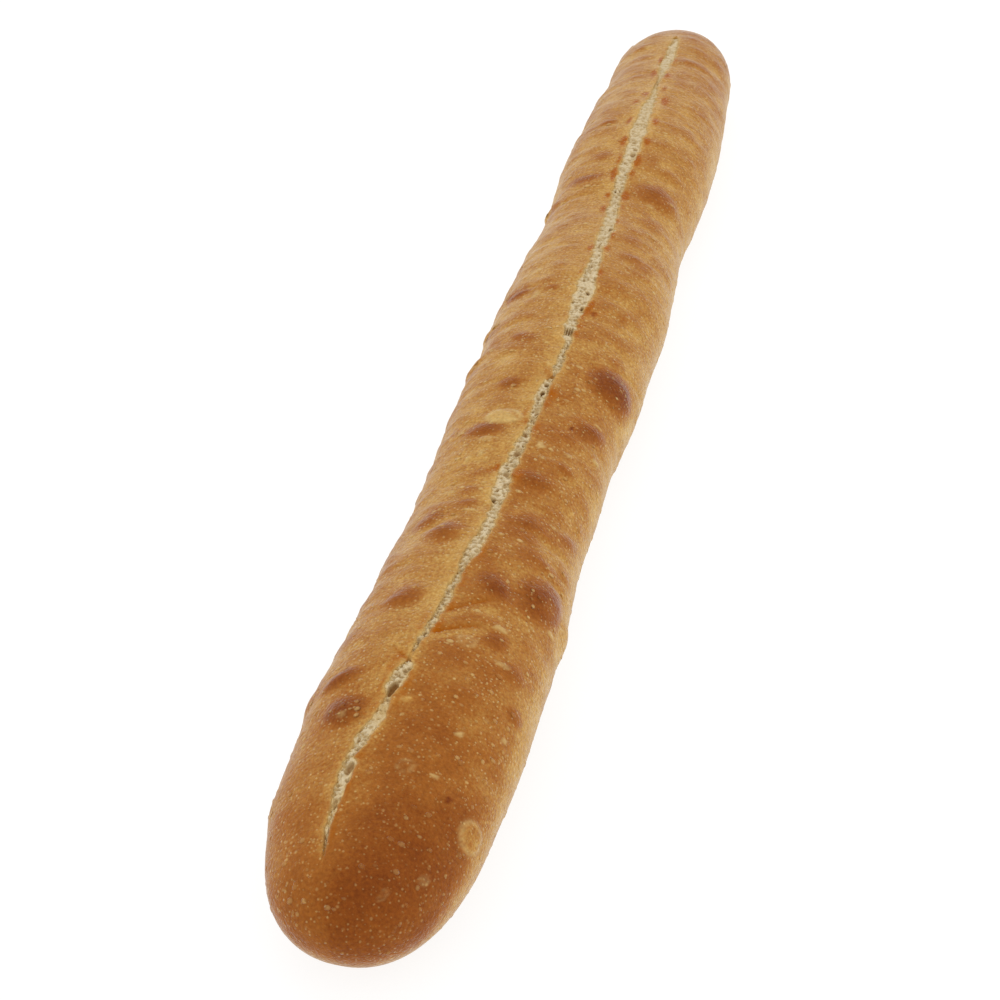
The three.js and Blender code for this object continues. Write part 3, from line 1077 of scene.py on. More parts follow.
def grid(name: str, columns: int, rows: int) -> tuple[bpy.types.Object, Array, Array]:
    """Add a flat grid to be shaped, and number its points.

    Args:
        name: the piece's name.
        columns: how many points it has in each row.
        rows: how many rows it has.

    Returns:
        The object, and the column and the row of each of its points.
    """
    alone()
    bpy.ops.mesh.primitive_grid_add(x_subdivisions=columns - 1, y_subdivisions=rows - 1, size=1)
    piece = bpy.context.active_object
    piece.name = piece.data.name = name
    flat = as_rows(piece.data) + 0.5
    column = np.rint(flat[:, 0] * (columns - 1)).astype(int)
    row = np.rint(flat[:, 1] * (rows - 1)).astype(int)
    return piece, column, row


def close_up(piece: bpy.types.Object, gap: float) -> None:
    """Join the points of a piece that meet, and turn its faces outwards.

    Args:
        piece: the piece to close.
        gap: how far apart points may be and still be one, in millimetres.
    """
    alone()
    piece.select_set(True)
    bpy.context.view_layer.objects.active = piece
    bpy.ops.object.mode_set(mode="EDIT")
    bpy.ops.mesh.select_all(action="SELECT")
    bpy.ops.mesh.remove_doubles(threshold=gap * MM)
    bpy.ops.mesh.normals_make_consistent(inside=False)
    bpy.ops.object.mode_set(mode="OBJECT")
    bpy.ops.object.shade_smooth()


def dress(piece: bpy.types.Object, finish: bpy.types.Material) -> None:
    """Give a piece its finish, and let it ride on the loaf's body.

    Args:
        piece: the piece.
        finish: its material.
    """
    piece.data.materials.clear()
    piece.data.materials.append(finish)
    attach(piece, BODY)


@dataclass
class Crust:
    """The whole closed skin of the loaf, with the groove of the score.

    Attributes:
        skin: the surface it follows.
        cap_rings: rings of points in each round end.
        body_rings: rings between them.
        side_columns: columns from each lip to the middle of the base.
        lip_step: spacing of the columns at the lips.
        skin_step: their spacing over the back and the sides.
        base_step: their spacing in the middle of the base.
        past_lips: share of the way to the base in which the spacing widens past the lips.
        to_base: share of the way in which it widens towards the base.
        way_points: how finely that way is measured.
        groove_shares: columns of the groove, as shares of its half width.
        gap: how far apart points may be and still be joined.
    """

    skin: Skin
    cap_rings: int = 68
    body_rings: int = 486
    side_columns: int = 76
    lip_step: float = 0.4
    skin_step: float = 0.97
    base_step: float = 2.6
    past_lips: Slope = Slope(0, 0.06)
    to_base: Slope = Slope(0.62, 0.9)
    way_points: int = 400
    groove_shares: tuple[float, ...] = (-0.84, -0.66, 0.0, 0.66, 0.84)
    gap: float = 0.001

    def _places(self) -> Array:
        """Place the rings along the loaf, closer together towards the tips.

        Returns:
            Their places.
        """
        half, cap = self.skin.form.length / 2, self.skin.form.cap
        quarter = np.linspace(0, math.pi / 2, self.cap_rings + 1)
        near = -half + cap * (1 - np.cos(quarter))
        body = np.linspace(-half + cap, half - cap, self.body_rings + 1)[1:-1]
        return np.concatenate([near, body, -near[::-1]])

    def _shares(self) -> Array:
        """Place the columns on the way from a lip to the middle of the base.

        Returns:
            The share of that way at each.
        """
        way = np.linspace(0, 1, self.way_points)
        step = self.lip_step + (self.skin_step - self.lip_step) * self.past_lips.at(way)
        step += (self.base_step - self.skin_step) * self.to_base.at(way)
        counted = np.concatenate([[0], np.cumsum(1 / step[:-1])])
        return np.interp(np.linspace(0, 1, self.side_columns), counted / counted[-1], way)

    def build(self) -> bpy.types.Object:
        """Roll a grid up into the loaf and close it.

        Returns:
            The crust, with its marks.
        """
        skin, places, shares = self.skin, self._places(), self._shares()
        first_right = self.side_columns + len(self.groove_shares)
        piece, column, row = grid("crust", first_right + self.side_columns, len(places))
        along = places[row]
        middle = skin.score.middle(skin.form, along)
        width = skin.form.half_width(along)
        left, right = (skin.score.lip(along, side) / width for side in (Side.LEFT, Side.RIGHT))

        turn, groove = np.empty(len(along)), np.zeros(len(along))
        outer = column < self.side_columns
        away = shares[self.side_columns - 1 - column[outer]]
        turn[outer] = (middle - left)[outer] - away * (math.pi + middle - left)[outer]
        outer = column >= first_right
        away = shares[column[outer] - first_right]
        turn[outer] = (middle + right)[outer] + away * (math.pi - middle - right)[outer]
        for number, share in enumerate(self.groove_shares):
            here = column == self.side_columns + number
            lip = right if share > 0 else left
            turn[here] = (middle + share * lip)[here]
            groove[here] = skin.score.groove(along[here], np.full(here.sum(), share))
        tip = (row == 0) | (row == len(places) - 1)
        turn[tip] = middle[tip]

        rise, marks = skin.relief(along, turn)
        place_points(piece.data, skin.form.skin(along, turn, rise - groove))
        write_marks(piece.data, marks)
        close_up(piece, self.gap)
        return piece


@dataclass
class Crumb:
    """The open bread that shows in the score, a strip of burst bubbles between the two lips.

    Attributes:
        skin: the surface that it lies in.
        columns: points from lip to lip.
        wrap: columns on each side that run round its hidden underside.
        row_step: spacing of its rows along the loaf.
        overlap: how far it runs into the crust past each lip, as a share of the half width.
        lip_edge: the share at which its edges start to run under the lips.
        sink: how far it lies below the lips.
        tuck: how much deeper its edges run, under the lips.
        tuck_closed: the same where the crust is whole.
        under: depth of its hidden underside.
        crumpled: its fine unevenness.
        crumple_rise: height of that.
        far_depth: how deep its pores are, by the place along the loaf.
        rim: width of the golden edge beside the lips.
        rim_gold: how golden that edge is.
        film_gold: how golden the smooth dough is.
        film_end: how far the smooth dough takes to end.
        film_cover: how fully it covers, with the unevenness.
        film_fills: how far it fills the pores.
        film_lifts: how far it lifts the crumb up to the lips.
        shade_full_depth: depth in a pore at which the painted shade is darkest.
        shade_mottle: how much darker the crumb is painted where its crumpled surface dips, as painted
            shade.
        shade_least: the painted shade that the crumb has outside the pores.
        small_pores: how many small pores it has besides the named ones.
        pore_reach: share of the half width in which the small pores lie.
        pore_size: half size of the small ones, by how large a one is drawn.
        pore_rarity: how rare the large ones among them are.
        pore_wider: their size across over that along, least and most.
        pore_deeper: their depth over their half size, least and most.
        pore_share: the most of the way to the lip that a pore's half size takes.
        films: stretches that smooth dough covers, from one place to another, and how fully.
        gap: how far apart points may be and still be joined.
        seed: where the random draws start.
    """

    skin: Skin
    columns: int = 37
    wrap: int = 2
    row_step: float = 0.26
    overlap: float = 1.1
    lip_edge: float = 0.94
    sink: float = 0.2
    tuck: float = 0.7
    tuck_closed: float = 1.6
    under: float = 4.0
    crumpled: Rumple = Rumple(1.0, 1.0, 12.6, 3)
    crumple_rise: float = 0.2
    far_depth: Slope = Slope(-20, 60, 1.0, 0.8)
    rim: float = 1.0
    rim_gold: float = 0.85
    film_gold: float = 0.65
    film_end: float = 3.0
    film_cover: Mix = Mix(0.7, 0.5)
    film_fills: float = 0.75
    film_lifts: float = 0.7
    shade_full_depth: float = 1.8
    shade_mottle: float = 0.26
    shade_least: float = 0.05
    small_pores: int = 4600
    pore_reach: float = 0.95
    pore_size: Mix = Mix(0.15, 0.42)
    pore_rarity: float = 2.6
    pore_wider: tuple[float, float] = (0.9, 1.9)
    pore_deeper: tuple[float, float] = (1.1, 2.2)
    pore_share: float = 0.9
    films: Rows = (
        (-282, -258, 0.5), (-232, -222, 1.0), (-204, -201, 0.8), (-47, -41, 1.0), (142, 176, 0.2),
        (184, 212, 0.6),
    )
    gap: float = 0.0001
    seed: int = 4

    def _pores(self) -> list[Pore]:
        """Draw the small pores, and add the named ones.

        Returns:
            All the pores.
        """
        draw = np.random.default_rng(self.seed)
        score = self.skin.score
        first, last = score.route[0][0], score.route[-1][0]
        pores = list(PORES)
        for _ in range(self.small_pores):
            along = draw.uniform(first, last)
            share = draw.uniform(-self.pore_reach, self.pore_reach)
            side = Side.RIGHT if share > 0 else Side.LEFT
            lip = float(score.lip(np.array([along]), side)[0])
            size = self.pore_size.at(draw.random() ** self.pore_rarity)
            across = size * draw.uniform(*self.pore_wider)
            pores.append(Pore(along, share * lip, size, across, size * draw.uniform(*self.pore_deeper)))
        return pores

    def build(self) -> bpy.types.Object:
        """Lay a fine grid in the score, press the pores into it and close it round its underside.

        Returns:
            The crumb, with its marks.
        """
        skin, score = self.skin, self.skin.score
        first, last = score.route[0][0], score.route[-1][0]
        places = np.linspace(first, last, round((last - first) / self.row_step))
        every = self.columns + 2 * self.wrap
        piece, column, row = grid("crumb", every, len(places))
        hidden = (column < self.wrap) | (column >= every - self.wrap)
        halfway = (column == 0) | (column == every - 1)
        shares = np.linspace(-self.overlap, self.overlap, self.columns)
        share = np.where(halfway, 0, shares[np.clip(column - self.wrap, 0, self.columns - 1)])
        along, middle = places[row], score.middle(skin.form, places)[row]
        lips = {side: score.lip(places, side) for side in Side}
        lip = np.where(share > 0, lips[Side.RIGHT][row], lips[Side.LEFT][row])
        over = share * lip
        turn = middle + over / skin.form.half_width(along)

        order = np.lexsort((column, row))
        depth = np.empty(len(along))
        depth[order] = self._hollow(places, over[order].reshape(len(places), every), lips).ravel()
        crumpled = self.crumpled.at(skin.form.skin(along, turn, np.zeros_like(along)))
        film = self._film(along) * self.film_cover.at(crumpled)
        cover = np.clip(film, 0, 1)
        depth *= (1 - self.film_fills * cover) * self.far_depth.at(along)

        rise, _ = skin.relief(along, turn)
        rise += self.crumple_rise * crumpled - depth - self.sink * (1 - self.film_lifts * cover)
        rise -= self.tuck_closed * (1 - score.openness(along))
        rise -= self.tuck * ease(self.lip_edge, self.overlap, np.abs(share))
        rise = np.where(hidden, -self.under, rise)
        tip = (row == 0) | (row == len(places) - 1)
        rise, turn = np.where(tip, -self.under / 2, rise), np.where(tip, middle, turn)
        place_points(piece.data, skin.form.skin(along, turn, rise))

        inward = lip * (1 - np.abs(share))
        rim = self.rim_gold * ease(self.rim * (1 + crumpled), 0.0, inward)
        # painted shade: the crumb is coloured darker the deeper it lies in a pore, and where its crumpled
        # surface dips
        pore_shade = depth / self.shade_full_depth - self.shade_mottle * crumpled + self.shade_least
        marks = {
            Mark.PORE_SHADE: np.clip(pore_shade, 0, 1),
            Mark.BAKE: np.clip(np.maximum(rim, self.film_gold * film), 0, 1),
        }
        write_marks(piece.data, marks)
        close_up(piece, self.gap)
        return piece

    def _film(self, along: Array) -> Array:
        """Give how far smooth stretched dough covers the crumb.

        Args:
            along: places along the loaf.

        Returns:
            The cover at each place.
        """
        film, end = np.zeros_like(along), self.film_end
        for first, last, strength in self.films:
            here = ease(first - end, first + end, along) * (1 - ease(last - end, last + end, along))
            film = np.maximum(film, strength * here)
        return film

    def _hollow(self, places: Array, over: Array, lips: dict[Side, Array]) -> Array:
        """Work out how deep each point lies in a pore.

        Args:
            places: the rows' places along the loaf.
            over: each point's distance from the cut's middle, by row and column.
            lips: the distance of each lip from the middle, by row.

        Returns:
            The depth at each row and column.
        """
        depth = np.zeros_like(over)
        for pore in self._pores():
            low, high = np.searchsorted(places, [pore.along - pore.length, pore.along + pore.length])
            if high <= low:
                continue
            side = Side.RIGHT if pore.over > 0 else Side.LEFT
            across = np.minimum(pore.across, lips[side][(low + high) // 2] * self.pore_share)
            lengthwise = (places[low:high, None] - pore.along) / pore.length
            sideways = (over[low:high] - pore.over) / across
            inside = np.clip(1 - lengthwise**2 - sideways**2, 0, 1)
            depth[low:high] = np.maximum(depth[low:high], pore.depth * np.sqrt(inside))
        return depth


def in_order(points: Array, faces: list[tuple[int, ...]]) -> tuple[Array, list[tuple[int, ...]]]:
    """Number a mesh's points by their places, because bisect numbers them otherwise in each run.

    Args:
        points: rows of three.
        faces: the numbers of each face's points.

    Returns:
        The same points and faces, in the same order in each run.
    """
    order = np.lexsort(points.T)
    number = np.argsort(order)
    renumbered = []
    for face in faces:
        corners = number[list(face)].tolist()
        first = corners.index(min(corners))
        renumbered.append(tuple(corners[first:] + corners[:first]))
    return points[order], sorted(renumbered)


@dataclass
class Blisters:
    """The small raised bubbles that dot the crust, low domes of thin pale skin.

    Attributes:
        skin: the surface that they stand on.
        count: how many there are.
        segments: sides of a dome.
        rings: rings of a dome from its foot to its top.
        flatness: height of a dome over its radius.
        sunk: how far its foot lies below the skin.
        radius: their radius, by how large a one is drawn.
        rarity: how rare the large ones are.
        wider: size round the loaf over that along it, least and most.
        far_wider: how much wider still they are, by the place along the loaf.
        from_tip: how far from the tips they start.
        spread: how far round the loaf they stand, in degrees to both sides.
        from_lip: how far outside the lips they start.
        near_end: how densely they stand, by the place along the loaf.
        near_tip: how many more crowd at the near tip.
        paleness: how pale they are, by how pale a one is drawn.
        pale_rarity: how rare the pale ones are.
        left_paler: how pale they are by the turn.
        tip_duller: how pale they are by the place along the loaf.
        dull: how much duller they are along a stretch of the loaf.
        seed: where the random draws start.
    """

    skin: Skin
    count: int = 3500
    segments: int = 9
    rings: int = 3
    flatness: float = 0.26
    sunk: float = 0.04
    radius: Mix = Mix(0.32, 0.66)
    rarity: float = 4.0
    wider: tuple[float, float] = (0.85, 1.5)
    far_wider: Slope = Slope(-180, 0, 1.0, 1.35)
    from_tip: float = 2.0
    spread: float = 118.0
    from_lip: float = 1.5
    near_end: Slope = Slope(-200, 120, 0.65, 0.39)
    near_tip: Slope = Slope(-290, -268, 0.35, 0.0)
    paleness: Mix = Mix(0.12, 0.76)
    pale_rarity: float = 1.4
    left_paler: Slope = Slope(-10, 10, 1.15, 1.0)
    tip_duller: Slope = Slope(-285, -240, 0.42, 1.0)
    dull: Band = Band(-245, 30, 0.45)
    seed: int = 23

    def _dome(self) -> tuple[Array, list[tuple[int, ...]]]:
        """Model one dome of radius 1 from a sphere, cut at its middle.

        Returns:
            Its points and its faces.
        """
        alone()
        bpy.ops.mesh.primitive_uv_sphere_add(segments=self.segments, ring_count=2 * self.rings, radius=1)
        dome = bpy.context.active_object
        mesh = dome.data
        bpy.ops.object.mode_set(mode="EDIT")
        bpy.ops.mesh.select_all(action="SELECT")
        bpy.ops.mesh.bisect(plane_co=(0, 0, 0), plane_no=(0, 0, 1), clear_inner=True, use_fill=True)
        bpy.ops.object.mode_set(mode="OBJECT")
        points = as_rows(mesh)
        faces = [tuple(face.vertices) for face in mesh.polygons]
        bpy.data.objects.remove(dome)
        bpy.data.meshes.remove(mesh)
        return in_order(points, faces)

    def _draw_places(self) -> tuple[Array, Array, np.random.Generator]:
        """Draw where the blisters stand: most at the near end.

        Returns:
            Their places along the loaf, their turns, and the generator for further draws.
        """
        draw = np.random.default_rng(self.seed)
        half = self.skin.form.length / 2 - self.from_tip
        along, turn = [], []
        while len(along) < self.count:
            place = draw.uniform(-half, half)
            angle = math.radians(draw.uniform(-self.spread, self.spread))
            likely = self.near_end.at(place) + self.near_tip.at(place)
            past, _ = self.skin.past_lip(np.array([place]), np.array([angle]))
            if past[0] > self.from_lip and draw.random() < likely:
                along.append(place)
                turn.append(angle)
        return np.array(along), np.array(turn), draw

    def build(self) -> bpy.types.Object:
        """Stand a dome of its own size and shade at each drawn place.

        Returns:
            All the blisters as one piece, with their marks.
        """
        along, turn, draw = self._draw_places()
        points, faces = self._dome()
        form = self.skin.form
        radius = self.radius.at(draw.random(self.count) ** self.rarity)
        wider = draw.uniform(*self.wider, self.count) * self.far_wider.at(along)
        paler = self.paleness.at(draw.random(self.count) ** self.pale_rarity)
        paler *= self.left_paler.at(np.degrees(turn)) * self.tip_duller.at(along)
        paler *= 1 - self.dull.at(along)
        rise, marks = self.skin.relief(along, turn)
        foot = form.skin(along, turn, rise - self.sunk)
        up = form.outward(along, turn)
        lengthwise = np.array([0.0, 1.0, 0.0]) - up * up[:, 1:2]
        lengthwise /= np.linalg.norm(lengthwise, axis=-1, keepdims=True)
        sideways = np.cross(lengthwise, up)

        size = radius[:, None, None]
        placed = foot[:, None, :] + size * (
            points[None, :, 0:1] * sideways[:, None, :] * wider[:, None, None]
            + points[None, :, 1:2] * lengthwise[:, None, :]
            + points[None, :, 2:3] * up[:, None, :] * self.flatness
        )
        count = len(points)
        firsts = range(0, count * self.count, count)
        every = [tuple(first + corner for corner in face) for first in firsts for face in faces]
        mesh = bpy.data.meshes.new("blisters")
        mesh.from_pydata((placed.reshape(-1, 3) * MM).tolist(), [], every)
        piece = bpy.data.objects.new("blisters", mesh)
        bpy.context.scene.collection.objects.link(piece)
        repeated = {mark: np.repeat(values, count) for mark, values in marks.items()}
        height = np.tile(np.clip(points[:, 2], 0, 1), self.count)
        repeated[Mark.PALE] = np.clip(repeated[Mark.PALE] + height * np.repeat(paler, count), 0, 1)
        write_marks(mesh, repeated)
        mesh.shade_smooth()
        return piece


def shade(red: int, green: int, blue: int) -> Colour:
    """Turn a colour as seen on a screen into the linear values that shaders use.

    Args:
        red: from 0 to 255.
        green: the same.
        blue: the same.

    Returns:
        The three linear values, and 1 for opaque.
    """
    screen = np.array([red, green, blue]) / 255
    # the standard curve of screens: straight near black, and a power above
    linear = np.where(screen <= 0.04045, screen / 12.92, ((screen + 0.055) / 1.055) ** 2.4)
    return (*map(float, linear), 1.0)


class Bench:
    """Adds nodes to one node tree and joins them, so that a finish reads as a list of steps."""

    def __init__(self, tree: bpy.types.NodeTree) -> None:
        """Start with an empty tree."""
        self.tree = tree
        tree.nodes.clear()

    def join(self, value: object, target: Socket) -> None:
        """Join a socket to an input, or set the input to a plain value.

        Args:
            value: the socket or the value.
            target: the input.
        """
        if isinstance(value, Socket):
            self.tree.links.new(value, target)
        else:
            target.default_value = value

    def add(self, kind: str, **settings: object) -> bpy.types.Node:
        """Add a node.

        Args:
            kind: its type.
            settings: its own properties.

        Returns:
            The node.
        """
        node = self.tree.nodes.new(kind)
        for name, value in settings.items():
            setattr(node, name, value)
        return node

    def feed(self, node: bpy.types.Node, **inputs: object) -> bpy.types.Node:
        """Join sockets to a node's inputs, or set them to plain values.

        Args:
            node: the node.
            inputs: what goes into each input, whose name has _ for each space.

        Returns:
            The same node.
        """
        for name, value in inputs.items():
            self.join(value, node.inputs[name.replace("_", " ")])
        return node

    def mark(self, mark: Mark) -> Socket:
        """Read a mark of the mesh."""
        return self.add("ShaderNodeAttribute", attribute_name=mark.value).outputs["Fac"]

    def place(self, scale: tuple[float, float, float] = (1, 1, 1)) -> Socket:
        """Read the place on the object, stretched by a scale."""
        here = self.add("ShaderNodeTexCoord").outputs["Object"]
        return self.feed(self.add("ShaderNodeMapping"), Vector=here, Scale=scale).outputs["Vector"]

    def noise(self, vector: Socket, scale: object, detail: float, roughness: float = 0.6) -> Socket:
        """Add noise, from 0 to 1."""
        node = self.add("ShaderNodeTexNoise")
        return self.feed(node, Vector=vector, Scale=scale, Detail=detail, Roughness=roughness).outputs[0]

    def maths(self, operation: str, first: object, second: object = 0.0, third: object = 0.0) -> Socket:
        """Join up to three values.

        Args:
            operation: what to do with them.
            first: a socket or a plain value.
            second: the same.
            third: the same, for operations that take three.

        Returns:
            The result.
        """
        node = self.add("ShaderNodeMath", operation=operation)
        for value, target in zip((first, second, third), node.inputs, strict=False):
            self.join(value, target)
        return node.outputs[0]

    def spread(self, value: Socket, slope: Slope) -> Socket:
        """Read the level of a slope.

        Args:
            value: where to read it.
            slope: the slope.

        Returns:
            The level.
        """
        node = self.add("ShaderNodeMapRange", interpolation_type="SMOOTHSTEP")
        self.feed(node, Value=value, From_Min=slope.start, From_Max=slope.end)
        return self.feed(node, To_Min=slope.before, To_Max=slope.after).outputs["Result"]

    def ramp(self, value: Socket, stops: Stops) -> Socket:
        """Turn a value into a colour.

        Args:
            value: the value.
            stops: places from 0 to 1, and the colour at each.

        Returns:
            The colour.
        """
        node = self.add("ShaderNodeValToRGB")
        elements = node.color_ramp.elements
        while len(elements) < len(stops):
            elements.new(1.0)
        for element, (position, colour) in zip(elements, stops, strict=True):
            element.position, element.color = position, colour
        return self.feed(node, Fac=value).outputs["Color"]

    def blend(self, share: Socket, first: object, second: object) -> Socket:
        """Mix two colours.

        Args:
            share: 0 for the first colour, and 1 for the second.
            first: a socket or a plain colour.
            second: the same.

        Returns:
            The mixed colour.
        """
        node = self.add("ShaderNodeMix", data_type="RGBA")
        colours = [socket for socket in node.inputs if socket.type == "RGBA"]
        for value, target in zip((share, first, second), (node.inputs["Factor"], *colours), strict=True):
            self.join(value, target)
        return next(socket for socket in node.outputs if socket.type == "RGBA")

    def bump(self, height: Socket, distance: float, strength: float) -> Socket:
        """Lift the surface by a height that stands for so many metres."""
        node = self.add("ShaderNodeBump")
        return self.feed(node, Height=height, Distance=distance, Strength=strength).outputs["Normal"]

    def surface(self, **inputs: object) -> None:
        """Finish a material with its surface shader, whose inputs are named as in feed."""
        shader = self.feed(self.add("ShaderNodeBsdfPrincipled"), **inputs)
        self.join(shader.outputs[0], self.add("ShaderNodeOutputMaterial").inputs[0])


def new_material(name: str) -> tuple[bpy.types.Material, Bench]:
    """Make an empty material.

    Args:
        name: its name.

    Returns:
        The material, and a bench for its nodes.
    """
    material = bpy.data.materials.new(name)
    material.use_nodes = True
    return material, Bench(material.node_tree)


@dataclass(frozen=True)
class Grain:
    """The effect that all the bread's finishes share: a fine grain that lifts and mottles a surface.

    Attributes:
        name: the group's name.
        detail: how many finer layers the grain has.
    """

    name: str = "Bread grain"
    detail: float = 3.0

    def build(self) -> bpy.types.NodeTree:
        """Make the node group once.

        Returns:
            The group, with a colour and a height that vary over the surface.
        """
        tree = bpy.data.node_groups.new(self.name, "ShaderNodeTree")
        bench = Bench(tree)
        for way, socket, kind in (
            ("INPUT", "Colour", "NodeSocketColor"),
            ("INPUT", "Size", "NodeSocketFloat"),
            ("INPUT", "Mottle", "NodeSocketFloat"),
            ("OUTPUT", "Colour", "NodeSocketColor"),
            ("OUTPUT", "Height", "NodeSocketFloat"),
        ):
            tree.interface.new_socket(socket, in_out=way, socket_type=kind)
        given = bench.add("NodeGroupInput").outputs
        grain = bench.noise(bench.place(), bench.maths("DIVIDE", 1.0, given["Size"]), self.detail)
        shift = bench.maths("SUBTRACT", grain, 0.5)
        bright = bench.maths("MULTIPLY_ADD", shift, given["Mottle"], 1.0)
        coloured = bench.add("ShaderNodeVectorMath", operation="SCALE")
        bench.join(given["Colour"], coloured.inputs[0])
        bench.feed(coloured, Scale=bright)
        bench.feed(bench.add("NodeGroupOutput"), Colour=coloured.outputs[0], Height=grain)
        return tree


@dataclass(frozen=True)
class CrustFinish:
    """Thin golden crust: browned by its bake mark, with pale stretched skin, caramel spots and a painted
    shadow along one flap's edge.

    Attributes:
        grain: the shared grain.
        grain_size: size of its grains, in metres.
        grain_mottle: how much it lightens and darkens.
        grain_rise: its height.
        stops: colour by the browning.
        pale: colour of thin light skin.
        caramel: colour of caramel, also used for a painted shadow along one popped flap's edge.
        speck: colour of the specks.
        mottle: how many of the broad mottles a metre holds, their finer layers and strength.
        streak: the same for the streaks round the loaf, whose first value stretches them.
        fine: the same for the finest mottles.
        streak_rise: height of the streaks.
        dark_calm: how strong the mottling is on dark crust.
        pale_calm: the same on pale crust.
        thin_patches: how thin skin comes and goes with the broad mottles.
        speck_layers: how many specks a metre holds, and how rare and how large they are.
        speck_dome: how a speck rises from its rim.
        speck_fade: how the specks fade on dark crust.
        speck_strength: how pale the specks are.
        speck_rise: their height.
        roughness: how dull the crust is, by the broad mottles.
        gloss: how strongly it reflects.
        bloom: how strong its dry pale veil is.
        bloom_roughness: how far that veil spreads.
    """

    grain: bpy.types.NodeTree
    grain_size: float = 0.0012
    grain_mottle: float = 0.55
    grain_rise: float = 0.5
    stops: Stops = (
        (0.0, shade(208, 173, 108)),
        (0.20, shade(191, 147, 77)),
        (0.40, shade(173, 121, 56)),
        (0.60, shade(155, 93, 33)),
        (0.80, shade(132, 69, 18)),
        (1.0, shade(106, 47, 12)),
    )
    pale: Colour = shade(206, 176, 114)
    caramel: Colour = shade(160, 86, 0)
    speck: Colour = shade(214, 180, 116)
    mottle: tuple[float, float, float] = (85.0, 5.0, 0.28)
    streak: tuple[tuple[float, float, float], float, float] = ((90.0, 420.0, 90.0), 3.0, 0.1)
    fine: tuple[float, float, float] = (1000.0, 2.0, 0.56)
    streak_rise: float = 0.12
    dark_calm: Slope = Slope(0.34, 0.66, 1.4, 0.6)
    pale_calm: Slope = Slope(0.12, 0.34, 0.75, 1.0)
    thin_patches: Slope = Slope(0.3, 0.7, 0.7, 1.0)
    speck_layers: Rows = ((850.0, 0.2, 0.44), (430.0, 0.45, 0.33))
    speck_dome: Slope = Slope(0.0, 0.26)
    speck_fade: Slope = Slope(0.5, 0.76, 1.0, 0.5)
    speck_strength: float = 0.5
    speck_rise: float = 0.12
    roughness: Slope = Slope(0.3, 0.7, 0.44, 0.58)
    gloss: float = 0.07
    bloom: float = 0.56
    bloom_roughness: float = 0.25

    def build(self) -> bpy.types.Material:
        """Make the finish.

        Returns:
            The material.
        """
        material, bench = new_material("Crust")
        here = bench.place()
        mottle = bench.noise(here, *self.mottle[:2])
        streak = bench.noise(bench.place(self.streak[0]), 1.0, self.streak[1])
        fine = bench.noise(here, *self.fine[:2])
        bake = bench.mark(Mark.BAKE)
        uneven = 0.0
        for unevenness, kind in ((mottle, self.mottle), (streak, self.streak), (fine, self.fine)):
            shift = bench.maths("SUBTRACT", unevenness, 0.5)
            uneven = bench.maths("MULTIPLY_ADD", shift, kind[2], uneven)
        calm = bench.spread(bake, self.dark_calm)
        calm = bench.maths("MULTIPLY", calm, bench.spread(bake, self.pale_calm))
        colour = bench.ramp(bench.maths("MULTIPLY_ADD", uneven, calm, bake), self.stops)
        thin = bench.maths("MULTIPLY", bench.mark(Mark.PALE), bench.spread(mottle, self.thin_patches))
        colour = bench.blend(thin, colour, self.pale)
        # caramel, and the painted shadow along the popped flap's edge
        colour = bench.blend(bench.mark(Mark.CARAMEL_AND_SHADOW), colour, self.caramel)
        lift = self._specks(bench, here)
        speck = bench.maths("MULTIPLY", lift, self.speck_strength)
        speck = bench.maths("MULTIPLY", speck, bench.spread(bake, self.speck_fade))
        colour = bench.blend(speck, colour, self.speck)
        grain = bench.add("ShaderNodeGroup", node_tree=self.grain)
        bench.feed(grain, Colour=colour, Size=self.grain_size, Mottle=self.grain_mottle)

        height = bench.maths("MULTIPLY", grain.outputs["Height"], self.grain_rise)
        height = bench.maths("MULTIPLY_ADD", lift, self.speck_rise, height)
        height = bench.maths("MULTIPLY_ADD", streak, self.streak_rise, height)
        bench.surface(
            Base_Color=grain.outputs["Colour"],
            Roughness=bench.spread(mottle, self.roughness),
            Normal=bench.bump(height, MM, 1.0),
            Specular_IOR_Level=self.gloss,
            Sheen_Weight=self.bloom,
            Sheen_Roughness=self.bloom_roughness,
            Sheen_Tint=WHITE,
        )
        return material

    def _specks(self, bench: Bench, here: Socket) -> Socket:
        """Scatter tiny pale specks, too small to be modelled.

        Args:
            bench: the finish's bench.
            here: the place on the object.

        Returns:
            How high each place is lifted, from 0 to 1.
        """
        lift = 0.0
        for per_metre, least, size in self.speck_layers:
            cells = bench.add("ShaderNodeTexVoronoi", feature="F1")
            bench.feed(cells, Vector=here, Scale=per_metre, Randomness=1.0)
            chosen = bench.feed(bench.add("ShaderNodeSeparateColor"), Color=cells.outputs["Color"])
            radius = bench.spread(chosen.outputs[0], Slope(least, 1.0, 0.0, size))
            inside = bench.maths("SUBTRACT", radius, cells.outputs["Distance"])
            lift = bench.maths("MAXIMUM", bench.spread(inside, self.speck_dome), lift)
        return lift


